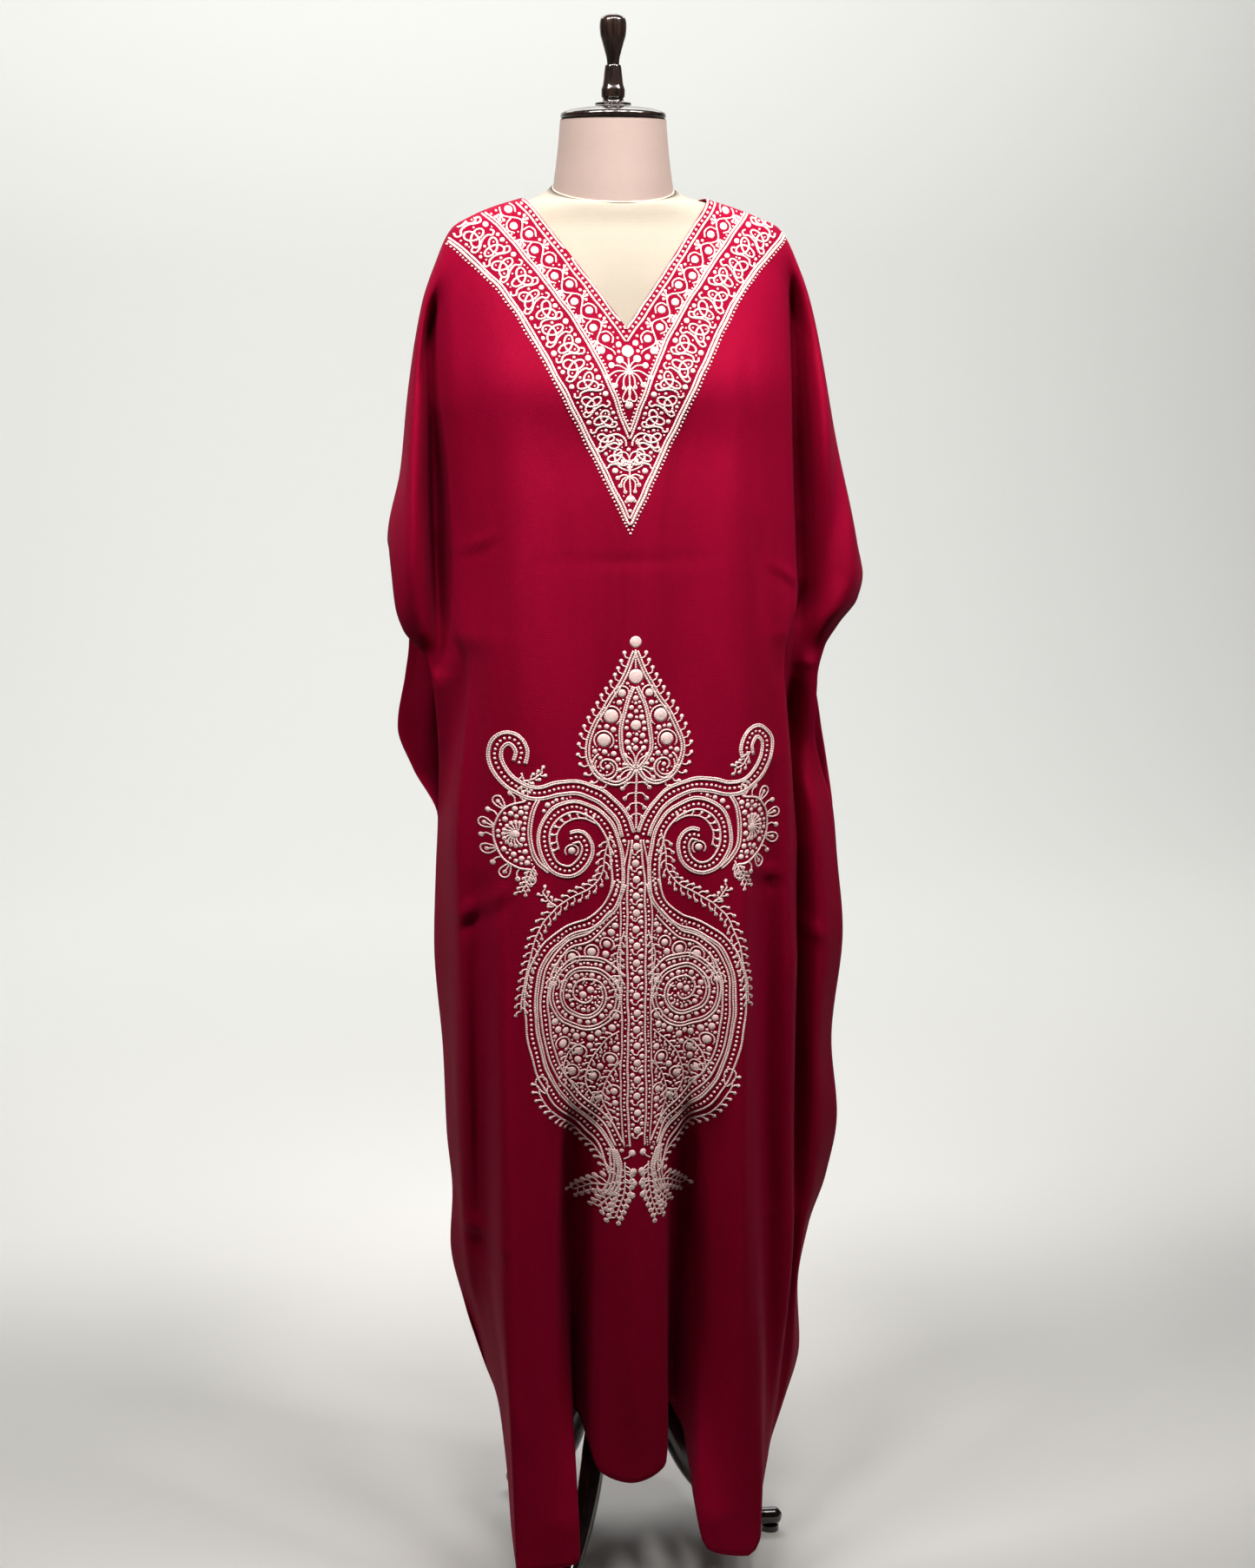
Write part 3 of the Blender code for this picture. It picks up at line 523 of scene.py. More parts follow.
form_heights, form_widths, form_fronts, form_backs = np.array(FORM_SECTIONS).T
ring_height = np.linspace(form_heights[0], form_heights[-1], FORM_RING_COUNT)
ring_width = smooth_curve(form_heights, form_widths, ring_height) - JERSEY_INSET
ring_front = smooth_curve(form_heights, form_fronts, ring_height) - JERSEY_INSET
ring_back = smooth_curve(form_heights, form_backs, ring_height) - JERSEY_INSET
ring_tilt = NECK_TILT * np.clip(
    (ring_height - NECK_TILT_START_Z) / (form_heights[-1] - NECK_TILT_START_Z), 0.0, 1.0)
ring_angle = np.arange(FORM_RING_POINTS) * 2.0 * math.pi / FORM_RING_POINTS
cosine, sine = np.cos(ring_angle), np.sin(ring_angle)
flatness = 2.0 / FORM_ROUNDNESS
bust_x = ring_width[:, None] * np.sign(cosine) * np.abs(cosine) ** flatness
bust_deep = np.where(sine < 0.0, ring_front[:, None], ring_back[:, None])
bust_y = bust_deep * np.sign(sine) * np.abs(sine) ** flatness
throat = np.exp(-(bust_x / THROAT_HALF_WIDTH) ** 2)
throat_reach = np.where(ring_height > THROAT_Z, THROAT_ABOVE, THROAT_BELOW)[:, None]
throat = throat * np.exp(-((ring_height[:, None] - THROAT_Z) / throat_reach) ** 2)
bust_y = bust_y - THROAT_RISE * throat * np.clip(-sine, 0.0, 1.0)
bust_z = ring_height[:, None] + ring_tilt[:, None] * bust_y
bust_rings = np.stack([bust_x, bust_y, bust_z], axis=-1) + AXIS
bust_cover = np.stack(
    np.broadcast_arrays(np.abs(ring_angle - math.pi) * BUST_COVER_RADIUS, bust_z), axis=-1)
bust_jersey = jersey_material("cream_jersey_cover", BUST_CREAM, BUST_MOTTLE)
bust = loft("padded_bust", bust_rings, bust_jersey, {"cover": bust_cover.reshape(-1, 2)})
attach(bust, "root")
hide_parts("form_bust")

neck_heights, neck_radii = np.array(NECK_SECTIONS).T
neck_height = np.linspace(neck_heights[0], neck_heights[-1], NECK_RING_COUNT)
neck_radius = smooth_curve(neck_heights, neck_radii, neck_height)
neck_tilt = NECK_TILT * (neck_heights[-1] - neck_height) / (neck_heights[-1] - neck_heights[0])
neck_x = neck_radius[:, None] * cosine
neck_y = neck_radius[:, None] * sine
neck_z = neck_height[:, None] + neck_tilt[:, None] * neck_y
neck_cover = np.stack(
    np.broadcast_arrays(np.abs(ring_angle - math.pi) * NECK_COVER_RADIUS, neck_z), axis=-1)
neck_jersey = jersey_material("neck_jersey_cover", NECK_CREAM, NECK_MOTTLE)
neck = loft(
    "covered_neck", np.stack([neck_x, neck_y, neck_z], axis=-1) + AXIS, neck_jersey,
    {"cover": neck_cover.reshape(-1, 2)})
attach(neck, "root")
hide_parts("form_neck")


def quads_down(number):
    """Quads of a table of point numbers, each down a column, across a row and back up."""
    corners = (number[:-1, :-1], number[1:, :-1], number[1:, 1:], number[:-1, 1:])
    return np.stack(corners, axis=-1).reshape(-1, 4)


def cord_ring(name, path, radius, material):
    """Closed ring of cord: a circle carried round a closed path.

    The circle stands square to the path and its first point looks away from the
    middle of the path.
    """
    ahead = np.roll(path, -1, axis=0) - np.roll(path, 1, axis=0)
    ahead /= np.linalg.norm(ahead, axis=1, keepdims=True)
    out = path - path.mean(axis=0)
    out -= ahead * np.sum(out * ahead, axis=1, keepdims=True)
    out /= np.linalg.norm(out, axis=1, keepdims=True)
    side = np.cross(ahead, out)
    angle = np.arange(SEAM_CORD_POINTS) * 2.0 * math.pi / SEAM_CORD_POINTS
    rings = path[:, None] + radius * (
        np.cos(angle)[None, :, None] * out[:, None] + np.sin(angle)[None, :, None] * side[:, None])
    number = np.arange(rings[..., 0].size).reshape(rings.shape[:2])
    faces = quads_down(np.pad(number, ((0, 1), (0, 1)), mode="wrap"))
    return make_piece(name, rings.reshape(-1, 3), faces, material)


seam_path = np.stack([neck_x[0], neck_y[0], neck_z[0]], axis=-1)
seam_path = seam_path * np.array([SEAM_CORD_OUT, SEAM_CORD_OUT, 1.0]) + AXIS
seam_cord, seam_shader = new_material("seam_cord_cotton", SEAM_CORD, 0.8)
seam_place = add_node(seam_cord, "ShaderNodeTexCoord")
seam_twist = add_node(seam_cord, "ShaderNodeTexNoise", {"Scale": 900.0})
seam_relief = raised(seam_cord, seam_twist, "Fac", 0.5, 0.0003)
wire(seam_cord, seam_place, "Object", seam_twist, "Vector")
wire(seam_cord, seam_relief, "Normal", seam_shader, "Normal")
neck_seam = cord_ring("neck_seam_cord", seam_path, SEAM_CORD_RADIUS, seam_cord)
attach(neck_seam, "root")


# Kaftan: two panels of fine maroon wool, each cut in one with its half of both wide
# sleeves. Seams run along the shoulders and outer sleeve folds and down the sides, and
# the sleeves' ends are open. It lies on the chest and hangs in long standing folds.
CLOTH_THICKNESS = 0.0013
SEAM_GAP = 0.0003
SHOULDER_POINT_X = 0.103
SHOULDER_POINT_Z = 1.600
FRONT_NECK_Z = 1.459
BACK_NECK_Z = 1.583
HALF_CLOTH = 0.55
NECK_SHARE = SHOULDER_POINT_X / HALF_CLOTH
CORNER_Z = {"left": 1.222, "right": 1.183}
SEAM_Y = 0.010
SETTLE_DROP = 0.35
FOLD_ROUNDING = 0.12
CLOTH_OVER_FORM = 0.0042
CHEST_Z = 1.50
FREE_HANG_Z = 1.27
PULL_START = 0.36
PULL_SPAN = 0.34
EDGE_STEPS = 400
BACK_NECK_POWER = 2.5
TOP_LIFT_POWER = 1.15
TOP_LIFT_END_Z = 0.93
HEM_LIFT_START_Z = 0.62
HEM_FLOOR_Z = 0.040
SEAM_BLEND = 0.006
FORM_CLEAR = 0.0020
CREASE_POWER = 0.8
EDGE_FADE_SHARE = 0.05
TOP_FADE = 0.06
WOOL_MAROON = (0.224, 0.0003, 0.0172)
WOOL_SHADE = (0.182, 0.0002, 0.0122)
WOOL_LIGHT = (0.267, 0.0005, 0.0234)
WOOL_SHEEN = (1.0, 0.10, 0.34, 1.0)
WEAVE_PER_METRE = 190.0

# The hanging outline: a height, the reach of each panel's edge on each side of the pole,
# and how far the edge stands out of the seam's plane.
OUTLINE_COLUMNS = (
    "z", "left_front", "left_back", "right_front", "right_back", "edge_front", "edge_back")
OUTLINE = (
    (1.600, 0.103, 0.103, 0.103, 0.103, 0.000, 0.000),
    (1.592, 0.130, 0.130, 0.131, 0.131, 0.000, 0.000),
    (1.582, 0.155, 0.155, 0.159, 0.159, 0.000, 0.000),
    (1.567, 0.180, 0.180, 0.190, 0.190, 0.000, 0.000),
    (1.530, 0.198, 0.198, 0.210, 0.210, 0.000, 0.000),
    (1.484, 0.214, 0.214, 0.226, 0.226, 0.000, 0.000),
    (1.386, 0.231, 0.231, 0.246, 0.246, 0.020, 0.020),
    (1.302, 0.240, 0.240, 0.263, 0.263, 0.034, 0.028),
    (1.222, 0.256, 0.256, 0.281, 0.281, 0.042, 0.030),
    (1.183, 0.254, 0.243, 0.289, 0.289, 0.044, 0.030),
    (1.150, 0.251, 0.234, 0.280, 0.268, 0.044, 0.042),
    (1.122, 0.242, 0.230, 0.257, 0.250, 0.044, 0.050),
    (1.095, 0.220, 0.231, 0.240, 0.243, 0.042, 0.052),
    (1.060, 0.210, 0.236, 0.233, 0.246, 0.038, 0.050),
    (1.000, 0.204, 0.246, 0.233, 0.254, 0.026, 0.042),
    (0.955, 0.202, 0.230, 0.243, 0.258, 0.012, 0.024),
    (0.900, 0.203, 0.203, 0.261, 0.261, 0.000, 0.000),
    (0.840, 0.206, 0.206, 0.267, 0.267, 0.000, 0.000),
    (0.750, 0.209, 0.209, 0.275, 0.275, 0.000, 0.000),
    (0.620, 0.200, 0.200, 0.263, 0.263, 0.000, 0.000),
    (0.525, 0.197, 0.197, 0.271, 0.271, 0.000, 0.000),
    (0.450, 0.191, 0.191, 0.258, 0.258, 0.000, 0.000),
    (0.390, 0.194, 0.194, 0.238, 0.238, 0.000, 0.000),
    (0.310, 0.178, 0.178, 0.225, 0.225, 0.000, 0.000),
    (0.240, 0.157, 0.157, 0.228, 0.228, 0.000, 0.000),
    (0.170, 0.134, 0.134, 0.211, 0.211, 0.000, 0.000),
    (0.110, 0.127, 0.127, 0.189, 0.189, 0.000, 0.000),
    (0.030, 0.119, 0.119, 0.178, 0.178, 0.000, 0.000),
)

# The standing folds from the middle out: a name, and the share of the half width.
FRONT_FOLDS = (
    ("centre_ridge", 0.000),
    ("pipe_side", 0.085),
    ("inner_valley", 0.175),
    ("column_inside", 0.290),
    ("column_outside", 0.400),
    ("shallow_dip", 0.490),
    ("body_edge", 0.580),
    ("side_pocket", 0.700),
    ("wing_ridge", 0.850),
    ("seam_edge", 1.000),
)
BACK_FOLDS = (
    ("centre_ridge", 0.000),
    ("inner_valley", 0.200),
    ("outer_ridge", 0.440),
    ("side_pocket", 0.680),
    ("wing_ridge", 0.860),
    ("seam_edge", 1.000),
)

# Height of the hem at shares of the half width.
FRONT_HEM = {
    "left": (
        (0.000, 0.146), (0.085, 0.158), (0.150, 0.190), (0.200, 0.176), (0.260, 0.068), (0.330, 0.046),
        (0.400, 0.042), (0.490, 0.050), (0.580, 0.070), (0.700, 0.095), (0.850, 0.085), (1.000, 0.070),
    ),
    "right": (
        (0.000, 0.146), (0.085, 0.158), (0.130, 0.196), (0.210, 0.196), (0.270, 0.098), (0.320, 0.054),
        (0.370, 0.046), (0.400, 0.062), (0.490, 0.080), (0.580, 0.095), (0.700, 0.105), (0.850, 0.085),
        (1.000, 0.070),
    ),
}
BACK_HEM = (
    (0.000, 0.090), (0.200, 0.120), (0.440, 0.060), (0.680, 0.100), (0.860, 0.080), (1.000, 0.070),
)

# Depth of each fold in front of or behind the pole, a column for each height.
FOLD_HEIGHTS = (1.50, 1.25, 1.10, 1.00, 0.70, 0.40, 0.22, 0.04)
FRONT_DEPTH = (
    (-0.098, -0.137, -0.143, -0.146, -0.151, -0.158, -0.160, -0.160),
    (-0.097, -0.136, -0.142, -0.145, -0.149, -0.149, -0.146, -0.143),
    (-0.094, -0.133, -0.139, -0.141, -0.143, -0.098, -0.052, -0.034),
    (-0.088, -0.126, -0.134, -0.138, -0.147, -0.154, -0.157, -0.160),
    (-0.078, -0.106, -0.118, -0.124, -0.134, -0.147, -0.152, -0.154),
    (-0.066, -0.088, -0.094, -0.098, -0.104, -0.098, -0.104, -0.116),
    (-0.050, -0.068, -0.076, -0.082, -0.088, -0.080, -0.080, -0.082),
)
FRONT_SIDE_DEPTH = {
    "left": (
        (-0.042, -0.052, -0.058, -0.060, -0.056, -0.048, -0.048, -0.048),
        (-0.034, -0.056, -0.050, -0.038, -0.026, -0.022, -0.020, -0.020),
    ),
    "right": (
        (-0.042, -0.040, -0.046, -0.042, -0.018, -0.024, -0.034, -0.046),
        (-0.034, -0.060, -0.050, -0.032, -0.034, -0.032, -0.030, -0.018),
    ),
}
BACK_DEPTH = (
    (0.100, 0.114, 0.124, 0.130, 0.140, 0.148, 0.152, 0.155),
    (0.096, 0.108, 0.116, 0.121, 0.118, 0.102, 0.094, 0.086),
    (0.088, 0.104, 0.114, 0.120, 0.132, 0.140, 0.144, 0.147),
)
BACK_SIDE_DEPTH = {
    "left": (
        (0.066, 0.052, 0.064, 0.074, 0.078, 0.066, 0.060, 0.056),
        (0.050, 0.072, 0.064, 0.052, 0.046, 0.040, 0.036, 0.034),
    ),
    "right": (
        (0.066, 0.052, 0.060, 0.064, 0.058, 0.056, 0.055, 0.054),
        (0.050, 0.072, 0.066, 0.056, 0.056, 0.046, 0.042, 0.034),
    ),
}

# Distance of the folds from the middle at the same heights.
FRONT_REACH = {
    "left": (
        (0.020, 0.022, 0.020, 0.019, 0.018, 0.029, 0.037, 0.040),
        (0.044, 0.046, 0.040, 0.037, 0.036, 0.049, 0.053, 0.055),
        (0.080, 0.106, 0.108, 0.110, 0.110, 0.086, 0.070, 0.062),
        (0.112, 0.142, 0.147, 0.148, 0.147, 0.146, 0.140, 0.134),
        (0.158, 0.176, 0.187, 0.190, 0.183, 0.168, 0.142, 0.132),
        (0.192, 0.192, 0.197, 0.196, 0.193, 0.182, 0.145, 0.127),
    ),
    "right": (
        (0.020, 0.022, 0.021, 0.021, 0.021, 0.032, 0.038, 0.041),
        (0.044, 0.047, 0.043, 0.041, 0.042, 0.057, 0.061, 0.062),
        (0.080, 0.110, 0.116, 0.120, 0.124, 0.102, 0.088, 0.078),
        (0.115, 0.152, 0.148, 0.145, 0.143, 0.147, 0.149, 0.150),
        (0.168, 0.203, 0.206, 0.206, 0.204, 0.200, 0.184, 0.158),
        (0.200, 0.230, 0.216, 0.214, 0.219, 0.212, 0.198, 0.165),
    ),
}
BACK_REACH = {
    "left": (
        (0.060, 0.062, 0.064, 0.064, 0.062, 0.056, 0.050, 0.045),
        (0.120, 0.132, 0.136, 0.138, 0.130, 0.118, 0.098, 0.082),
        (0.174, 0.190, 0.188, 0.186, 0.172, 0.154, 0.128, 0.108),
    ),
    "right": (
        (0.060, 0.064, 0.066, 0.068, 0.070, 0.066, 0.063, 0.060),
        (0.124, 0.140, 0.146, 0.150, 0.152, 0.142, 0.132, 0.120),
        (0.180, 0.208, 0.208, 0.208, 0.210, 0.190, 0.174, 0.150),
    ),
}
DIP_PART = 0.55
WING_PART = {"front": 0.34, "back": 0.52}

# Creases in the front and the back, each a soft ridge or trough along a curved line: the
# two ends as x and z on the pole's axis, how far its middle bows sideways, its height
# (a trough is negative) and its half width.
FRONT_CREASES = (
    ("chest_swell", -0.190, 1.392, 0.200, 1.396, 0.000, 0.0100, 0.0500),
    ("armhole_left", -0.207, 1.580, -0.200, 1.070, 0.000, -0.0560, 0.0120),
    ("sleeve_roll_left", -0.229, 1.520, -0.236, 1.120, 0.000, 0.0160, 0.0120),
    ("armhole_left_foot", -0.194, 1.370, -0.196, 1.090, 0.000, -0.0200, 0.0140),
    ("flank_left", -0.190, 1.560, -0.182, 1.120, 0.000, -0.0300, 0.0360),
    ("flank_right", 0.190, 1.560, 0.194, 1.120, 0.000, -0.0280, 0.0360),
    ("armhole_left_low", -0.203, 1.230, -0.206, 1.060, 0.000, -0.0120, 0.0110),
    ("armhole_right", 0.203, 1.580, 0.219, 1.080, 0.000, -0.0620, 0.0120),
    ("sleeve_roll_right", 0.226, 1.520, 0.246, 1.120, 0.000, 0.0140, 0.0120),
    ("armhole_right_low", 0.214, 1.240, 0.208, 1.060, 0.000, -0.0140, 0.0110),
    ("side_valley_right", 0.205, 1.120, 0.206, 0.740, 0.000, -0.0400, 0.0120),
    ("wing_valley_right", 0.211, 0.860, 0.212, 0.420, 0.000, -0.0340, 0.0120),
    ("fold_line_right", 0.132, 1.440, 0.172, 1.060, 0.006, -0.0080, 0.0100),
    ("elbow_pull_left", -0.192, 1.214, -0.140, 1.238, 0.004, 0.0026, 0.0045),
    ("elbow_pull_left_under", -0.190, 1.205, -0.138, 1.229, 0.004, -0.0016, 0.0050),
    ("elbow_pull_right", 0.160, 1.200, 0.214, 1.160, -0.004, 0.0026, 0.0045),
    ("elbow_pull_right_under", 0.158, 1.191, 0.210, 1.151, -0.004, -0.0016, 0.0050),
    ("shelf_crease", -0.110, 1.207, 0.112, 1.211, 0.002, -0.0009, 0.0060),
    ("press_line_left", -0.010, 1.360, -0.013, 1.050, 0.003, 0.0016, 0.0080),
    ("press_line_right", 0.070, 1.300, 0.062, 1.000, -0.003, 0.0012, 0.0080),
    ("chest_band_left", -0.118, 1.360, -0.112, 0.980, 0.008, 0.0030, 0.0160),
    ("chest_dip_left", -0.080, 1.330, -0.076, 0.960, -0.006, -0.0028, 0.0150),
    ("chest_dip_right", 0.072, 1.300, 0.074, 0.960, 0.004, -0.0034, 0.0110),
    ("chest_band_right", 0.108, 1.330, 0.112, 0.960, 0.004, 0.0030, 0.0130),
    ("side_dip_right", 0.146, 1.250, 0.158, 0.940, 0.006, -0.0046, 0.0120),
    ("hip_pull_left", -0.214, 0.794, -0.136, 0.848, 0.006, 0.0050, 0.0055),
    ("hip_pull_left_under", -0.212, 0.780, -0.132, 0.834, 0.006, -0.0030, 0.0080),
    ("hip_pull_right", 0.122, 0.868, 0.186, 0.842, 0.004, 0.0040, 0.0055),
    ("hip_pull_right_under", 0.120, 0.855, 0.186, 0.829, 0.004, -0.0024, 0.0080),
    ("wing_pull_right", 0.206, 0.776, 0.256, 0.752, 0.002, 0.0046, 0.0060),
    ("hip_ridge_left", -0.190, 0.980, -0.186, 0.400, 0.003, 0.0044, 0.0080),
    ("flank_dip_left", -0.166, 0.860, -0.160, 0.130, 0.002, -0.0230, 0.0125),
    ("column_edge_left", -0.145, 0.960, -0.136, 0.090, 0.002, 0.0056, 0.0075),
    ("valley_left", -0.068, 0.900, -0.064, 0.150, 0.002, -0.0150, 0.0130),
    ("pipe_ridge", 0.002, 0.820, 0.003, 0.170, 0.001, 0.0050, 0.0150),
    ("valley_right", 0.070, 0.900, 0.074, 0.150, 0.002, -0.0150, 0.0130),
    ("column_edge_right", 0.122, 0.900, 0.128, 0.090, -0.002, 0.0056, 0.0075),
    ("flank_dip_right", 0.160, 0.980, 0.172, 0.120, 0.002, -0.0360, 0.0180),
    ("knee_pull_left", -0.190, 0.434, -0.142, 0.426, -0.002, 0.0085, 0.0065),
    ("knee_pull_left_under", -0.190, 0.414, -0.142, 0.408, -0.002, -0.0060, 0.0090),
    ("knee_pull_right", 0.130, 0.454, 0.180, 0.428, -0.003, 0.0024, 0.0050),
    ("hem_pull_left", -0.150, 0.300, -0.120, 0.180, 0.003, 0.0026, 0.0080),
    ("hem_pull_right", 0.146, 0.340, 0.166, 0.220, 0.003, 0.0026, 0.0080),
    ("deep_valley_left", -0.067, 0.590, -0.072, 0.100, 0.001, -0.0380, 0.0210),
    ("deep_valley_right", 0.080, 0.590, 0.090, 0.100, 0.001, -0.0460, 0.0220),
    ("tongue_crease", -0.006, 0.330, 0.014, 0.180, 0.004, 0.0020, 0.0090),
)
BACK_CREASES = (
    ("blade_pull_left", -0.150, 1.520, -0.060, 1.440, 0.010, 0.0024, 0.0110),
    ("blade_pull_right", 0.140, 1.530, 0.070, 1.430, -0.008, 0.0026, 0.0120),
    ("armhole_left", -0.192, 1.450, -0.196, 1.220, 0.006, -0.0044, 0.0090),
    ("armhole_right", 0.206, 1.440, 0.212, 1.210, -0.005, -0.0048, 0.0090),
    ("elbow_pull_left", -0.205, 1.180, -0.150, 1.215, 0.004, 0.0034, 0.0075),
    ("elbow_pull_right", 0.230, 1.150, 0.170, 1.190, 0.004, 0.0036, 0.0075),
    ("shelf_crease", -0.090, 1.216, 0.080, 1.214, 0.002, -0.0010, 0.0080),
    ("waist_dip_left", -0.090, 1.320, -0.084, 0.960, 0.005, -0.0024, 0.0140),
    ("waist_dip_right", 0.078, 1.340, 0.086, 0.940, -0.005, -0.0024, 0.0130),
    ("hip_pull_left", -0.190, 0.812, -0.120, 0.846, 0.008, 0.0032, 0.0070),
    ("hip_pull_right", 0.220, 0.790, 0.146, 0.826, -0.008, 0.0030, 0.0070),
    ("thigh_fold_left", -0.120, 0.900, -0.124, 0.420, 0.004, 0.0024, 0.0110),
    ("thigh_fold_right", 0.128, 0.880, 0.140, 0.440, -0.004, 0.0026, 0.0110),
    ("knee_pull_left", -0.164, 0.470, -0.110, 0.450, 0.003, 0.0024, 0.0070),
    ("knee_pull_right", 0.190, 0.440, 0.136, 0.426, -0.003, 0.0022, 0.0070),
    ("hem_pull", 0.020, 0.330, 0.032, 0.170, 0.003, 0.0016, 0.0090),
)


def ease(value):
    """Smooth step from 0 to 1."""
    value = np.clip(value, 0.0, 1.0)
    return value * value * (3.0 - 2.0 * value)


def outline_at(column, height):
    """One column of the outline table at the given heights."""
    place = OUTLINE_COLUMNS.index(column)
    heights = [row[0] for row in reversed(OUTLINE)]
    values = [row[place] for row in reversed(OUTLINE)]
    return smooth_curve(heights, values, height)


def top_edge(side, panel, share):
    """Reach and height of the top edge at each share of the half width.

    From the middle to the shoulder point it is the neckline. From there it runs
    along the shoulder and down the hanging outer fold to the sleeve's corner, at
    even steps of its own length.
    """
    heights = np.linspace(SHOULDER_POINT_Z, CORNER_Z[side], EDGE_STEPS)
    reach = outline_at(f"{side}_{panel}", heights)
    length = distance_along(np.stack([reach, heights], axis=-1))
    along = np.clip((share - NECK_SHARE) / (1.0 - NECK_SHARE), 0.0, 1.0) * length[-1]
    fold_reach = np.interp(along, length, reach)
    fold_height = np.interp(along, length, heights)
    part = np.clip(share / NECK_SHARE, 0.0, 1.0)
    if panel == "front":
        neck_line = FRONT_NECK_Z + (SHOULDER_POINT_Z - FRONT_NECK_Z) * part
    else:
        neck_line = BACK_NECK_Z + (SHOULDER_POINT_Z - BACK_NECK_Z) * part ** BACK_NECK_POWER
    in_neck = share < NECK_SHARE
    top_reach = np.where(in_neck, SHOULDER_POINT_X * part, fold_reach)
    top_height = np.where(in_neck, neck_line, fold_height)
    return top_reach, top_height


def fold_value(rows, height):
    """Value of every fold row at the given heights, rows first."""
    knots = FOLD_HEIGHTS[::-1]
    return np.stack([smooth_curve(knots, row[::-1], height) for row in rows])


def fold_reaches(side, panel, height, edge):
    """Distance from the middle of every fold at the heights, from 0 to the edge."""
    if panel == "front":
        *inner, outside, body, pocket = fold_value(FRONT_REACH[side], height)
        folds = [*inner, outside, outside + DIP_PART * (body - outside), body, pocket]
    else:
        folds = list(fold_value(BACK_REACH[side], height))
    wing = folds[-1] + WING_PART[panel] * (edge - folds[-1])
    return np.stack([np.zeros_like(height), *folds, wing, edge])


def hanging_half(side, panel, share, level):
    """Points of one half of a panel at shares of its half width and cut heights.

    Reach: each column starts at the top edge and drifts, as it falls, to where the
    folds put it. Depth: a superellipse over the shoulders and chest, which turns
    into the folds lower down, rounded off over the outer fold of the sleeve.
    """
    front = panel == "front"
    sign = -1.0 if front else 1.0
    knots = [row[1] for row in (FRONT_FOLDS if front else BACK_FOLDS)]
    depths = FRONT_DEPTH + FRONT_SIDE_DEPTH[side] if front else BACK_DEPTH + BACK_SIDE_DEPTH[side]
    outline = f"{side}_{panel}"
    top_reach, top_height = top_edge(side, panel, share)
    hem_rows = FRONT_HEM[side] if front else BACK_HEM
    hem = smooth_curve([row[0] for row in hem_rows], [row[1] for row in hem_rows], share, True)
    top_part = np.clip((level - TOP_LIFT_END_Z) / (SHOULDER_POINT_Z - TOP_LIFT_END_Z), 0.0, 1.0)
    top_lift = (top_height - SHOULDER_POINT_Z) * top_part ** TOP_LIFT_POWER
    hem_part = ease((HEM_LIFT_START_Z - level) / (HEM_LIFT_START_Z - HEM_FLOOR_Z))
    height = level + top_lift + (hem - HEM_FLOOR_Z) * hem_part
    edge = outline_at(outline, height)
    folds_at = fold_reaches(side, panel, height, edge)
    settled = ease((top_height - height) / SETTLE_DROP)
    reach = top_reach * (1.0 - settled) + smooth_curve(knots, folds_at, share) * settled
    corner_settled = ease((CORNER_Z[side] - height) / SETTLE_DROP)
    corner_reach = outline_at(outline, np.array(CORNER_Z[side]))
    free_edge = corner_reach * (1.0 - corner_settled) + edge * corner_settled
    pulled_in = np.where(height < CORNER_Z[side], edge / free_edge, 1.0)
    reach = reach * (1.0 - (1.0 - pulled_in) * ease((share - PULL_START) / PULL_SPAN))
    form_depth = smooth_curve(form_heights, form_fronts if front else form_backs, height)
    ratio = np.clip(reach / edge, 0.0, 1.0)
    rounded = (1.0 - ratio ** FORM_ROUNDNESS) ** (1.0 / FORM_ROUNDNESS)
    over_form = SEAM_Y + (sign * (form_depth + CLOTH_OVER_FORM) - SEAM_Y) * rounded
    seam_side = SEAM_Y + sign * outline_at("edge_front" if front else "edge_back", height)
    fold_depths = np.concatenate([fold_value(depths, height), seam_side[None]])
    folded = smooth_curve(knots, fold_depths, share, True)
    ridge_height = np.where(share < NECK_SHARE, SHOULDER_POINT_Z, top_height)
    fallen = np.clip((ridge_height - height) / FOLD_ROUNDING, 0.0, 1.0)
    folded = SEAM_Y + (folded - SEAM_Y) * np.sqrt(1.0 - (1.0 - fallen) ** 2)
    free = ease((CHEST_Z - height) / (CHEST_Z - FREE_HANG_Z))
    depth = over_form * (1.0 - free) + folded * free
    gap_side = SEAM_Y + sign * SEAM_GAP / 2
    depth = np.minimum(depth, gap_side) if front else np.maximum(depth, gap_side)
    return np.stack([-reach if side == "left" else reach, depth, height], axis=-1)


def crease_height(creases, x, z):
    """Sum of the creases at places on the front or back view.

    Each is a bell across its line, times a power of a half sine along it so that it
    fades out at both ends. The line bows sideways as a parabola.
    """
    total = np.zeros_like(x)
    for _, start_x, start_z, end_x, end_z, bow, rise, half_width in creases:
        run = np.array([end_x - start_x, end_z - start_z])
        length = np.hypot(*run)
        along = ((x - start_x) * run[0] + (z - start_z) * run[1]) / length ** 2
        aside = ((x - start_x) * run[1] - (z - start_z) * run[0]) / length
        part = np.clip(along, 0.0, 1.0)
        aside = aside - bow * 4.0 * part * (1.0 - part)
        fade = np.sin(math.pi * part) ** CREASE_POWER
        total += rise * fade * np.exp(-(aside / half_width) ** 2)
    return total


def cloth_at(panel, across, level):
    """Middle of the panel's cloth at places on its cut: across from -1 at the left
    side to 1 at the right, and level, the height on the middle of the cloth."""
    across, level = np.broadcast_arrays(np.asarray(across, float), np.asarray(level, float))
    left = hanging_half("left", panel, np.abs(across), level)
    right = hanging_half("right", panel, np.abs(across), level)
    return np.where((across < 0.0)[..., None], left, right)


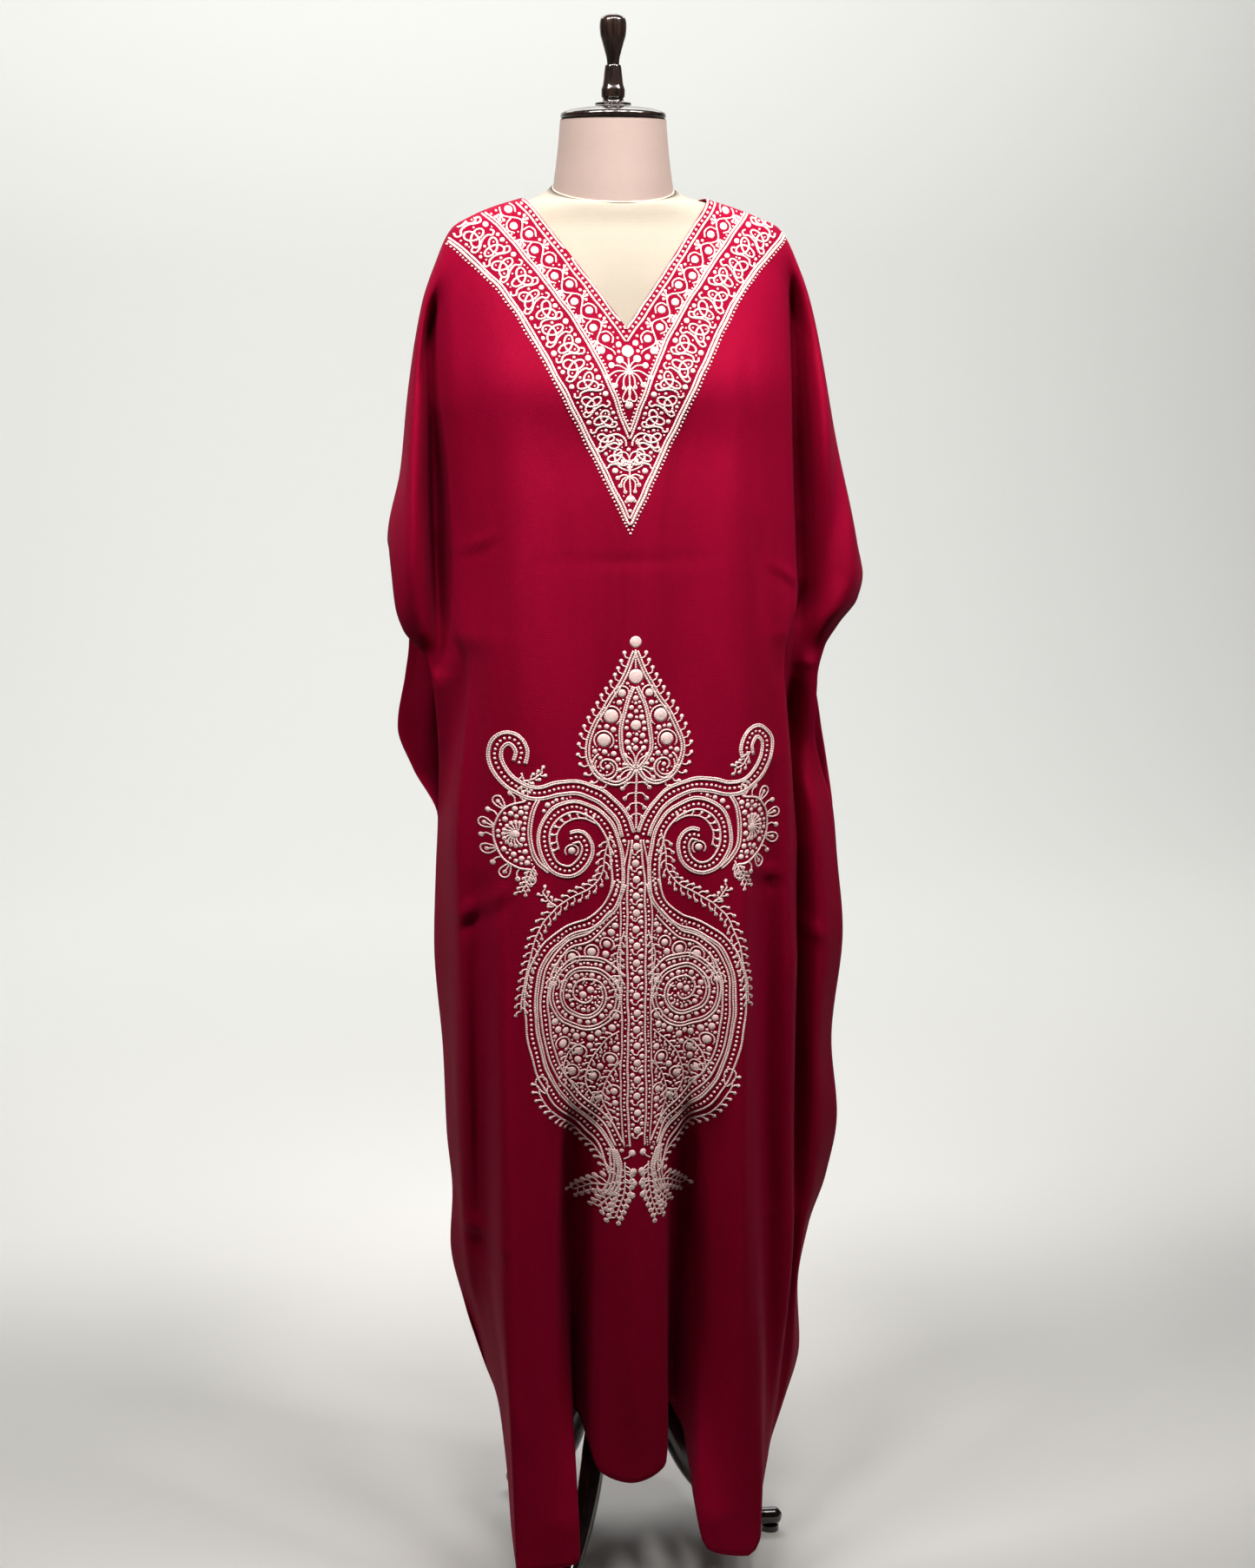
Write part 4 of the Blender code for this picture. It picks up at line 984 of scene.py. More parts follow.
def finer(values, parts):
    """The same values with each step cut into equal parts."""
    values = np.asarray(values, float)
    at = np.linspace(0, len(values) - 1, (len(values) - 1) * parts + 1)
    return np.interp(at, np.arange(len(values)), values)


def over_the_form(panel, grid):
    """Depth of the cloth where it would sink into the padded form: a superellipse of
    the form's width and depth at each height, with a little room for the cloth."""
    front = panel == "front"
    height = np.clip(grid[..., 2], form_heights[0], form_heights[-1])
    width = smooth_curve(form_heights, form_widths, height) + FORM_CLEAR
    deep = smooth_curve(form_heights, form_fronts if front else form_backs, height) + FORM_CLEAR
    ratio = np.clip(np.abs(grid[..., 0]) / width, 0.0, 1.0)
    surface = deep * (1.0 - ratio ** FORM_ROUNDNESS) ** (1.0 / FORM_ROUNDNESS)
    clear = (np.abs(grid[..., 0]) >= width) | (grid[..., 2] < form_heights[0])
    over = np.minimum(grid[..., 1], -surface) if front else np.maximum(grid[..., 1], surface)
    return np.where(clear, grid[..., 1], over)


def panel_grid(panel, shares, levels, creases):
    """Grid of the panel's middle, from left to right and top to bottom, with its
    creases raised straight out to the front or the back, and its normals. A crease
    fades out at the side edges and the top."""
    outward = -1.0 if panel == "front" else 1.0
    across = np.concatenate([-shares[:0:-1], shares])
    grid = cloth_at(panel, across[None, :], levels[:, None])
    from_side = np.minimum(1.0, (1.0 - np.abs(across)) / EDGE_FADE_SHARE)[None, :]
    from_top = ((levels[0] - levels) / TOP_FADE)[:, None]
    lift = crease_height(creases, grid[..., 0], grid[..., 2]) * ease(from_side) * ease(from_top)
    grid[..., 1] += lift * outward
    grid[..., 1] = over_the_form(panel, grid)
    return across, grid, grid_normals(grid, outward)


def grid_normals(grid, outward):
    """Unit normals of a grid of points, pointing to the outward side in y.

    Where an edge lies in the seam, between the two panels, its normal is kept
    square to the y axis, so that the two walls end face to face.
    """
    normal = np.cross(np.gradient(grid, axis=1), np.gradient(grid, axis=0))
    normal /= np.linalg.norm(normal, axis=-1, keepdims=True)
    middle = normal[grid.shape[0] // 2, grid.shape[1] // 2]
    if middle[1] * outward < 0.0:
        normal = -normal
    from_seam = np.abs(grid[..., 1] - SEAM_Y) - SEAM_GAP
    beside_seam = np.clip(1.0 - from_seam / SEAM_BLEND, 0.0, 1.0)
    on_edge = np.zeros(grid.shape[:2])
    on_edge[:, 0] = on_edge[:, -1] = on_edge[0] = 1.0
    normal[..., 1] *= 1.0 - beside_seam * on_edge
    return normal / np.linalg.norm(normal, axis=-1, keepdims=True)


def cloth_wall(name, grid, normal, across, levels, material):
    """Thin closed wall about a grid: an outer and an inner face, and a rim round all
    four edges. Its UV map "cut" is the place on the flat cut, in metres."""
    rows, columns = grid.shape[:2]
    outer = grid + normal * CLOTH_THICKNESS / 2
    inner = grid - normal * CLOTH_THICKNESS / 2
    count = rows * columns
    faces_out = grid_quads(rows, columns)
    sample = faces_out[count // 3]
    corner = outer.reshape(-1, 3)[sample]
    facing = np.cross(corner[1] - corner[0], corner[3] - corner[0])
    if facing @ normal.reshape(-1, 3)[sample[0]] < 0.0:
        faces_out = faces_out[:, ::-1]
    faces_in = faces_out[:, ::-1] + count
    number = np.arange(count).reshape(rows, columns)
    rim = np.concatenate([number[0, :-1], number[:-1, -1], number[-1, :0:-1], number[:0:-1, 0]])
    after = np.roll(rim, -1)
    rim_faces = np.stack([rim, after, after + count, rim + count], axis=-1)
    used = {tuple(edge) for edge in faces_out[:, [0, 1, 1, 2]].reshape(-1, 2).tolist()}
    if (int(rim[0]), int(after[0])) in used:
        rim_faces = rim_faces[:, ::-1]
    flat = np.stack(np.broadcast_arrays(across[None, :] * HALF_CLOTH, levels[:, None]), axis=-1)
    cut = np.concatenate([flat.reshape(-1, 2)] * 2)
    points = np.concatenate([outer.reshape(-1, 3), inner.reshape(-1, 3)]) + AXIS
    faces = np.concatenate([faces_out, faces_in, rim_faces])
    return make_piece(name, points, faces, material, {"cut": cut})


def wool_material(name):
    """Fine worsted in plain weave: warp and weft ribs from the cut's own UV map, with
    slubs of thicker yarn, a slightly uneven dye, fine dry wrinkles and the soft sheen
    of wool."""
    material, shader = new_material(name, WOOL_MAROON, 0.72, {
        "Sheen Weight": 0.04, "Sheen Roughness": 0.38, "Sheen Tint": WOOL_SHEEN, "Specular IOR Level": 0.04})
    cut = add_node(material, "ShaderNodeUVMap", uv_map="cut")
    rib = {"Scale": WEAVE_PER_METRE, "Distortion": 0.7, "Detail": 1.0}
    warp = add_node(material, "ShaderNodeTexWave", rib, wave_type="BANDS", bands_direction="X")
    weft = add_node(material, "ShaderNodeTexWave", rib, wave_type="BANDS", bands_direction="Y")
    weave = add_node(material, "ShaderNodeMath", operation="ADD")
    slubs = stretched_noise(material, cut, "UV", (900.0, 60.0, 1.0), {"Detail": 2.0})
    picks = stretched_noise(material, cut, "UV", (70.0, 1000.0, 1.0), {"Detail": 2.0})
    yarn = add_node(material, "ShaderNodeMath", operation="ADD")
    dye = stretched_noise(material, cut, "UV", (9.0, 2.2, 1.0), {"Detail": 4.0})
    thread = add_node(material, "ShaderNodeMath", {1: 0.30}, operation="MULTIPLY_ADD")
    tone = colour_between(material, thread, "Value", 0.40, WOOL_SHADE, 1.0, WOOL_LIGHT)
    wrinkles = stretched_noise(
        material, cut, "UV", (16.0, 5.0, 1.0), {"Detail": 3.0, "Distortion": 0.8})
    wrinkle_relief = raised(material, wrinkles, "Fac", 0.22, 0.006)
    weave_height = add_node(material, "ShaderNodeMath", {1: 0.6}, operation="MULTIPLY_ADD")
    weave_relief = raised(material, weave_height, "Value", 0.45, 0.0004)
    wire(material, cut, "UV", warp, "Vector")
    wire(material, cut, "UV", weft, "Vector")
    wire(material, slubs, "Fac", yarn, 0)
    wire(material, picks, "Fac", yarn, 1)
    wire(material, yarn, "Value", thread, 0)
    wire(material, dye, "Fac", thread, 2)
    wire(material, warp, "Fac", weave, 0)
    wire(material, weft, "Fac", weave, 1)
    wire(material, weave, "Value", weave_height, 0)
    wire(material, yarn, "Value", weave_height, 2)
    wire(material, wrinkle_relief, "Normal", weave_relief, "Normal")
    wire(material, weave_relief, "Normal", shader, "Normal")
    wire(material, tone, "Color", shader, "Base Color")
    return material


wool = wool_material("maroon_worsted")

# Shares of the half width, closer together at the side of the neck.
FRONT_SHARES = (
    0.000, 0.036, 0.073, 0.110, 0.140, 0.163, 0.177, 0.1845, NECK_SHARE,
    0.220, 0.270, 0.320, 0.370, 0.425, 0.480, 0.540, 0.600, 0.660, 0.720, 0.790, 0.860, 0.930, 1.000,
)
BACK_SHARES = (
    0.000, 0.050, 0.100, 0.145, 0.174, NECK_SHARE,
    0.240, 0.310, 0.380, 0.450, 0.530, 0.610, 0.690, 0.780, 0.860, 0.930, 1.000,
)
# Heights on the middle of the cloth, closer together at the neck and the shoulders.
CROSS_HEIGHTS = (
    1.600, 1.598, 1.592, 1.582, 1.568, 1.550, 1.528, 1.500, 1.460, 1.410,
    1.355, 1.300, 1.245, 1.190, 1.140, 1.095, 1.050, 1.005, 0.955, 0.900,
    0.840, 0.770, 0.700, 0.625, 0.550, 0.475, 0.400, 0.320, 0.240, 0.160, 0.095, HEM_FLOOR_Z,
)
front_shares = finer(FRONT_SHARES, 4)
back_shares = finer(BACK_SHARES, 5)
levels = finer(CROSS_HEIGHTS, 8)
front_across, front_grid, front_normal = panel_grid("front", front_shares, levels, FRONT_CREASES)
back_across, back_grid, back_normal = panel_grid("back", back_shares, levels, BACK_CREASES)
front_cloth = cloth_wall("kaftan_front_cloth", front_grid, front_normal, front_across, levels, wool)
back_cloth = cloth_wall("kaftan_back_cloth", back_grid, back_normal, back_across, levels, wool)
for piece, node in ((front_cloth, "kaftan_front"), (back_cloth, "kaftan_back")):
    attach(piece, "root")
    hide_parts(node)


# Yoke embroidery: chain stitch in silvery cream thread round the V neck, worked with a
# hooked needle over a drawn pattern. A dotted band edges the neck, a flowering vine fills
# the next band, and looped scrolls fill the wide one, inside a border with small picots.
THREAD_CREAM = (0.98, 0.76, 0.735)
# A darker cream that serves two marks: the real uneven ageing of the thread, and painted shade between the
# chain links and knot turns.
THREAD_AGED_AND_LINK_SHADE = (0.86, 0.59, 0.56)
THREAD_STEP = 0.0021
SPIRAL_STEP = THREAD_STEP * 0.85
SMALL_STEP = THREAD_STEP * 0.8
LINE = 0.0023
FINE_LINE = 0.0018
THREAD_RISE = 0.0009
STITCH_LENGTH = 0.0027
# Across a thread: the shares of its width and of its rise, up one side, over and under.
RING_ACROSS = np.array([-0.5, -0.27, 0.27, 0.5, 0.0])
RING_RISE = np.array([0.05, 0.95, 0.95, 0.05, -0.35])
# From a knot's edge to its peak: the shares of its radius and of its rise.
KNOT_RINGS = ((1.00, 0.00), (0.74, 0.88))
KNOT_SINK = 0.0001
SMALL_KNOT = 0.0015
LARGE_KNOT = 0.0028
SHORTEST_THREAD = 3
BAND_DOT_STEP = 0.0054
BLOSSOM_RING_GAP = 0.0030
CURVE_PARTS = 16
SPIRAL_PARTS = 14
HAND_WOBBLE = 0.0006
NECK_EDGE_CLEAR = 0.0022
COARSE_STEP = 4
SEARCH_BATCH = 400
NEWTON_STEPS = 14
LONGEST_NEWTON_STEP = 4.0
IN_LAST_CELL = 1.001
FILL_STEP = 0.0015
FILL_MARGIN = 0.006
MOST_FILL_KNOTS = 900


def even_steps(line, step):
    """The same line with its points at even distances along it."""
    length = distance_along(line)
    count = max(3, int(round(length[-1] / step)) + 1)
    at = np.linspace(0.0, length[-1], count)
    return np.stack([np.interp(at, length, line[:, axis]) for axis in range(2)], axis=-1)


def drawn_line(corners, step=THREAD_STEP):
    """Smooth line through a few points: a cubic in each stretch, whose slope at a point
    runs parallel to the line between its two neighbours."""
    marks = np.asarray(corners, float)
    marks = np.concatenate([2 * marks[:1] - marks[1:2], marks, 2 * marks[-1:] - marks[-2:-1]])
    part = np.linspace(0.0, 1.0, CURVE_PARTS, endpoint=False)[:, None]
    before, here, there, after = (marks[i:len(marks) - 3 + i, None] for i in range(4))
    stretch = 0.5 * (
        2 * here + (there - before) * part
        + (2 * before - 5 * here + 4 * there - after) * part ** 2
        + (3 * here - before - 3 * there + after) * part ** 3)
    return even_steps(np.concatenate([stretch.reshape(-1, 2), marks[-2:-1]]), step)


def to_the_left(along):
    """Vectors turned a quarter to the left."""
    return np.stack([-along[:, 1], along[:, 0]], axis=-1)


def ahead_of(line):
    """Unit vectors along a line at each of its points."""
    along = np.gradient(line, axis=0)
    return along / np.maximum(np.linalg.norm(along, axis=1, keepdims=True), 1e-9)


def beside(line, distance):
    """Line at a distance to the left of another, which may differ along it."""
    return line + to_the_left(ahead_of(line)) * np.broadcast_to(distance, len(line))[:, None]


def mirror(line, centre):
    """Mirror image of a line about an upright line."""
    return line * (-1.0, 1.0) + (2.0 * centre, 0.0)


def turning(centre, turns):
    """Spiral about a centre, from rows of an angle in degrees and a radius."""
    angles, radii = np.array(turns, float).T
    fine = np.linspace(0.0, len(angles) - 1.0, len(angles) * SPIRAL_PARTS)
    angle = np.radians(np.interp(fine, np.arange(len(angles)), angles))
    knots = np.arange(len(radii), dtype=float)
    radius = smooth_curve(knots, radii, fine)
    line = np.stack([centre[0] + radius * np.cos(angle), centre[1] + radius * np.sin(angle)], -1)
    return even_steps(line, SPIRAL_STEP)


class Pattern:
    """A drawn pattern: threads, each a line and its width, and round knots."""

    def __init__(self):
        """Start with an empty sheet."""
        self.threads = []
        self.knots = []

    def thread(self, line, width=LINE):
        """Thread along a line, of one width or of a width for each of its points."""
        line = np.asarray(line, float)
        self.threads.append((line, np.broadcast_to(np.asarray(width, float), len(line))))

    def knot(self, place, radius):
        """One round knot."""
        self.knots.append((float(place[0]), float(place[1]), float(radius)))

    def knots_along(self, line, step, radius):
        """Row of equal knots at even steps of a line."""
        for place in even_steps(line, step):
            self.knot(place, radius)

    def band(self, line, width, dot_radius=0.0017):
        """Two lines beside a path, with a row of knots between them."""
        half = np.broadcast_to(np.asarray(width, float) / 2, len(line))
        self.thread(beside(line, half))
        self.thread(beside(line, -half))
        self.knots_along(line, BAND_DOT_STEP, dot_radius)

    def bud(self, root, angle, length, radius, bend=0.35):
        """Short stalk that bends to one side and ends in a knot."""
        way = np.array([math.cos(angle), math.sin(angle)])
        turn = np.array([-way[1], way[0]])
        tip = np.asarray(root) + way * length
        middle = np.asarray(root) + way * length * 0.5 + turn * length * bend * 0.5
        stalk = drawn_line([root, middle, tip], SMALL_STEP)
        self.thread(stalk, np.linspace(FINE_LINE * 0.8, FINE_LINE * 1.15, len(stalk)))
        self.knot(tip, radius)

    def spray(self, line, step, length, lean, sides=(1, -1), radius=0.0018, grow=1.0):
        """Stem with buds that lean forward from it, on one side or on both."""
        self.thread(line, FINE_LINE)
        marks = even_steps(line, step)
        along = np.gradient(marks, axis=0)
        angles = np.arctan2(along[:, 1], along[:, 0])
        sizes = np.linspace(1.0, grow, len(marks))
        for number, (mark, angle, size) in enumerate(zip(marks[1:], angles[1:], sizes[1:])):
            for side in sides:
                shift = mark if side > 0 else (mark + marks[number]) / 2
                self.bud(shift, angle + side * lean, length * size, radius * size, side * 0.35)

    def blossom(self, place, radius, ring=False):
        """Filled round flower, which may have a line about three quarters round it."""
        self.knot(place, radius)
        if ring:
            turn = np.radians(np.linspace(-40.0, 235.0, 18))
            reach = radius + BLOSSOM_RING_GAP
            loop = np.stack([place[0] + reach * np.cos(turn), place[1] + reach * np.sin(turn)], -1)
            self.thread(loop, FINE_LINE)

    def petal(self, root, angle, length, width):
        """Outlined petal: a loop that leaves its root and comes back to it."""
        turn = np.linspace(0.0, 2.0 * math.pi, 20)
        ahead = length * (1.0 - np.cos(turn)) / 2.0
        aside = width / 2.0 * np.sin(turn) * (1.15 - 0.5 * np.cos(turn))
        line = np.stack([
            root[0] + ahead * math.cos(angle) - aside * math.sin(angle),
            root[1] + ahead * math.sin(angle) + aside * math.cos(angle)], axis=-1)
        self.thread(even_steps(line, SMALL_STEP), FINE_LINE)

    def mirrored(self, centre):
        """The pattern and its mirror image about an upright line."""
        both = Pattern()
        both.threads = self.threads + [(mirror(line, centre), width) for line, width in self.threads]
        both.knots = self.knots + [(2.0 * centre - x, z, radius) for x, z, radius in self.knots]
        return both


def read_grid(grid, row, column):
    """Grid read between its points, in proportion to how near each corner is."""
    low_row = np.clip(row.astype(int), 0, grid.shape[0] - 2)
    low_column = np.clip(column.astype(int), 0, grid.shape[1] - 2)
    down = (row - low_row)[..., None]
    right = (column - low_column)[..., None]
    top_left, top_right = grid[low_row, low_column], grid[low_row, low_column + 1]
    low_left, low_right = grid[low_row + 1, low_column], grid[low_row + 1, low_column + 1]
    value = (top_left * (1 - right) + top_right * right) * (1 - down)
    value += (low_left * (1 - right) + low_right * right) * down
    by_row = (low_left - top_left) * (1 - right) + (low_right - top_right) * right
    by_column = (top_right - top_left) * (1 - down) + (low_right - low_left) * down
    return value, by_row, by_column


def find_on_front(view, start=None):
    """Rows and columns of the front cloth's grid where it is seen at x and z from the
    front: the nearest point of a coarse grid, then Newton's steps on the fine one."""
    seen = front_grid[..., [0, 2]]
    if start is None:
        coarse = seen[::COARSE_STEP, ::COARSE_STEP].reshape(-1, 2)
        wide = len(range(0, seen.shape[1], COARSE_STEP))
        nearest = np.concatenate([
            np.argmin(((part[:, None] - coarse[None]) ** 2).sum(-1), axis=1)
            for part in np.array_split(view, max(1, len(view) // SEARCH_BATCH))])
        row, column = (nearest // wide) * COARSE_STEP * 1.0, (nearest % wide) * COARSE_STEP * 1.0
    else:
        row, column = start
    for _ in range(NEWTON_STEPS):
        value, by_row, by_column = read_grid(seen, row, column)
        miss = view - value
        cross = by_row[..., 0] * by_column[..., 1] - by_row[..., 1] * by_column[..., 0]
        cross = np.where(np.abs(cross) < 1e-9, 1e-9, cross)
        row_step = (miss[..., 0] * by_column[..., 1] - miss[..., 1] * by_column[..., 0]) / cross
        column_step = (by_row[..., 0] * miss[..., 1] - by_row[..., 1] * miss[..., 0]) / cross
        row_step, column_step = np.clip((row_step, column_step), -LONGEST_NEWTON_STEP, LONGEST_NEWTON_STEP)
        row = np.clip(row + row_step, 0.0, seen.shape[0] - IN_LAST_CELL)
        column = np.clip(column + column_step, 0.0, seen.shape[1] - IN_LAST_CELL)
    return row, column


def on_front(view, rise, start):
    """Points at a rise over the front cloth's outer face, seen at x and z. start holds
    rows and columns near them."""
    row, column = find_on_front(view, start)
    place, _, _ = read_grid(front_grid, row, column)
    normal, _, _ = read_grid(front_normal, row, column)
    normal /= np.linalg.norm(normal, axis=-1, keepdims=True)
    return place + normal * (CLOTH_THICKNESS / 2 + np.asarray(rise))[..., None] + AXIS


def on_the_cloth(view):
    """Where a drawn place is below the shoulder seam and clear of the neck's edge."""
    top = np.interp(view[..., 0], front_grid[0, :, 0], front_grid[0, :, 2])
    return view[..., 1] < top - NECK_EDGE_CLEAR


def hand_drawn(view):
    """The same places with the slight unevenness of a line drawn by hand: two sine
    waves for each direction, whose lengths share no common step."""
    x, z = view[..., 0], view[..., 1]
    wave_x = np.sin(z * 163.0 + 1.3) + np.sin(x * 211.0 - z * 97.0)
    wave_z = np.sin(x * 187.0 + 0.4) + np.sin(z * 229.0 + x * 71.0)
    return view + HAND_WOBBLE * 0.5 * np.stack([wave_x, wave_z], axis=-1)


def thread_ridge(run, wide):
    """Low ridge with a flat foot, carried along a line: the view, rise and UV pair of
    each of its points, and its faces in blocks of point numbers."""
    count, sides = len(run), len(RING_ACROSS)
    across = RING_ACROSS * wide[:, None]
    view = run[:, None] + to_the_left(ahead_of(run))[:, None] * across[..., None]
    rise = RING_RISE * np.minimum(wide / LINE, 1.2)[:, None] * THREAD_RISE
    stitch = distance_along(run)[:, None] + np.abs(RING_ACROSS) * STITCH_LENGTH * 0.8
    pair = np.stack([stitch.ravel(), np.tile(RING_ACROSS * LINE, count)], axis=-1)
    number = np.arange(count * sides).reshape(count, sides)
    sleeve = quads_down(np.pad(number, ((0, 0), (0, 1)), mode="wrap"))
    return view.reshape(-1, 2), rise.ravel(), pair, (sleeve, number[:1], number[-1:, ::-1])


def knot_dome(middle, radius):
    """Low dome with a closed foot: rings of points that draw in to a peak, with the
    same four results as a thread."""
    sides = 6 if radius < SMALL_KNOT else 8 if radius < LARGE_KNOT else 14
    turn = np.arange(sides) * 2.0 * math.pi / sides
    spokes = np.stack([np.cos(turn), np.sin(turn)], axis=-1)
    ring = np.concatenate([spokes * part * radius for part, _ in KNOT_RINGS] + [np.zeros((1, 2))])
    rise = np.concatenate([np.repeat([part for _, part in KNOT_RINGS], sides), [1.0]])
    number = np.arange(len(KNOT_RINGS) * sides).reshape(-1, sides)
    edge = number[-1]
    crown = np.stack([edge, np.roll(edge, -1), np.full(sides, number.size)], axis=-1)
    sleeve = grid_quads(len(KNOT_RINGS), sides, wrap=True)
    return middle + ring, rise * THREAD_RISE * 0.9 - KNOT_SINK, ring, (sleeve, crown, number[:1, ::-1])


def embroidered(name, pattern):
    """Mesh of a pattern on the front cloth: a ridge for each stretch of thread that is
    clear of the cloth's edge, and a dome for each knot."""
    runs, shapes, kinds = [], [], []
    for line, width in pattern.threads:
        line = hand_drawn(line)
        edges = np.flatnonzero(np.diff(np.concatenate([[0], on_the_cloth(line).astype(int), [0]])))
        for first, last in edges.reshape(-1, 2):
            if last - first >= SHORTEST_THREAD:
                runs.append(line[first:last])
                shapes.append(thread_ridge(line[first:last], width[first:last]))
                kinds.append(0)
    for x, z, radius in pattern.knots:
        middle = hand_drawn(np.array([x, z]))
        if on_the_cloth(middle + np.array([0.0, radius])):
            runs.append(middle[None])
            shapes.append(knot_dome(middle, radius))
            kinds.append(1)
    views, rises, pairs, blocks = zip(*shapes)
    faces, looks = [], []
    count = 0
    for view, shape_faces, kind in zip(views, blocks, kinds):
        for block in shape_faces:
            faces.extend((block + count).tolist())
            looks.append(np.full(len(block), kind))
        count += len(view)
    row, column = find_on_front(np.concatenate(runs))
    copies = np.concatenate([np.full(len(run), len(view) // len(run)) for run, view in zip(runs, views)])
    start = (np.repeat(row, copies), np.repeat(column, copies))
    points = on_front(np.concatenate(views), np.concatenate(rises), start)
    piece = make_piece(name, points, faces, chain_thread, {"thread": np.concatenate(pairs)})
    piece.data.materials.append(satin_thread)
    piece.data.polygons.foreach_set("material_index", np.concatenate(looks).astype(np.int32))
    return piece


def thread_material(name, wave_kind, pitch, strength):
    """Slightly glossy cotton thread. Waves of the thread's own UV map give the links of
    a chain stitch, or the turns of a knot, in the relief, and also darken the cream
    between links or turns as painted shade. A fine noise gives the fibres, and a broad
    one the uneven ageing of the cream."""
    material, shader = new_material(
        name, THREAD_CREAM, 0.55, {"Sheen Weight": 0.10, "Specular IOR Level": 0.25})
    place = add_node(material, "ShaderNodeUVMap", uv_map="thread")
    links = add_node(
        material, "ShaderNodeTexWave",
        {"Scale": 2.0 * math.pi / (20.0 * pitch), "Distortion": 0.6, "Detail": 1.0},
        wave_type=wave_kind, rings_direction="Z")
    fibres = add_node(material, "ShaderNodeTexNoise", {"Scale": 1600.0, "Detail": 2.0})
    where = add_node(material, "ShaderNodeTexCoord")
    ageing = add_node(material, "ShaderNodeTexNoise", {"Scale": 46.0, "Detail": 3.0})
    # The links' wave darkens the cream where the stitch dips, which is painted shade; the broad noise adds
    # real uneven ageing.
    total = add_node(material, "ShaderNodeMath", operation="ADD")
    tone = colour_between(material, total, "Value", 0.42, THREAD_AGED_AND_LINK_SHADE, 1.0, THREAD_CREAM)
    height = add_node(material, "ShaderNodeMath", {1: 0.25}, operation="MULTIPLY_ADD")
    relief = raised(material, height, "Value", strength, 0.0005)
    wire(material, place, "UV", links, "Vector")
    wire(material, place, "UV", fibres, "Vector")
    wire(material, where, "Object", ageing, "Vector")
    wire(material, links, "Fac", total, 0)
    wire(material, ageing, "Fac", total, 1)
    wire(material, fibres, "Fac", height, 0)
    wire(material, links, "Fac", height, 2)
    wire(material, relief, "Normal", shader, "Normal")
    wire(material, tone, "Color", shader, "Base Color")
    return material


chain_thread = thread_material("chain_stitch_thread", "BANDS", STITCH_LENGTH, 0.8)
satin_thread = thread_material("satin_knot_thread", "RINGS", 0.0012, 0.6)


def carried(path, shape):
    """Shape of distances along a path and to its left, set on the path."""
    length = distance_along(path)
    along = ahead_of(path)
    shape = np.atleast_2d(np.asarray(shape, float))
    place = np.stack([np.interp(shape[:, 0], length, path[:, axis]) for axis in range(2)], -1)
    way = np.stack([np.interp(shape[:, 0], length, along[:, axis]) for axis in range(2)], -1)
    over = np.clip(shape[:, :1] - length[-1], 0.0, None) + np.clip(shape[:, :1], None, 0.0)
    return place + to_the_left(way) * shape[:, 1:] + way * over


def inside(places, outline):
    """Which places lie within a closed outline: the edges to one side of a place are
    crossed an odd number of times."""
    after = np.roll(outline, -1, axis=0)
    x, z = places[:, None, 0], places[:, None, 1]
    spans = (outline[:, 1] > z) != (after[:, 1] > z)
    rise = np.where(after[:, 1] == outline[:, 1], 1e-9, after[:, 1] - outline[:, 1])
    crossing = outline[:, 0] + (z - outline[:, 1]) / rise * (after[:, 0] - outline[:, 0])
    return (spans & (x < crossing)).sum(axis=1) % 2 == 1


def fill_gaps(pattern, outline, largest, smallest, clear=0.0013):
    """Knots in the gaps of a pattern within an outline, the widest gap first: each is
    as large as the room round it allows."""
    low, high = outline.min(axis=0), outline.max(axis=0)
    x, z = np.meshgrid(np.arange(low[0], high[0], FILL_STEP), np.arange(low[1], high[1], FILL_STEP))
    odd_row = np.round(z.ravel() / FILL_STEP) % 2
    places = np.stack([x.ravel() + odd_row * FILL_STEP / 2, z.ravel()], axis=-1)
    places = places[inside(places, outline)]
    lines = np.concatenate([even_steps(line, 0.0022) for line, _ in pattern.threads] + [outline])
    lines = lines[np.all((lines > low - FILL_MARGIN) & (lines < high + FILL_MARGIN), axis=1)]
    room = np.full(len(places), 1.0)
    for part in np.array_split(lines, max(1, len(lines) // SEARCH_BATCH)):
        gap = np.linalg.norm(places[:, None] - part[None], axis=-1).min(axis=1)
        room = np.minimum(room, gap - LINE / 2)
    for knot_x, knot_z, radius in pattern.knots:
        room = np.minimum(room, np.hypot(places[:, 0] - knot_x, places[:, 1] - knot_z) - radius)
    for _ in range(MOST_FILL_KNOTS):
        best = int(np.argmax(room))
        radius = min(room[best] - clear, largest)
        if radius < smallest:
            break
        pattern.knot(places[best], radius)
        room = np.minimum(room, np.linalg.norm(places - places[best], axis=1) - radius)


def right_part(line):
    """The part of a line on the right of the middle."""
    return line[line[:, 0] >= 0.0]


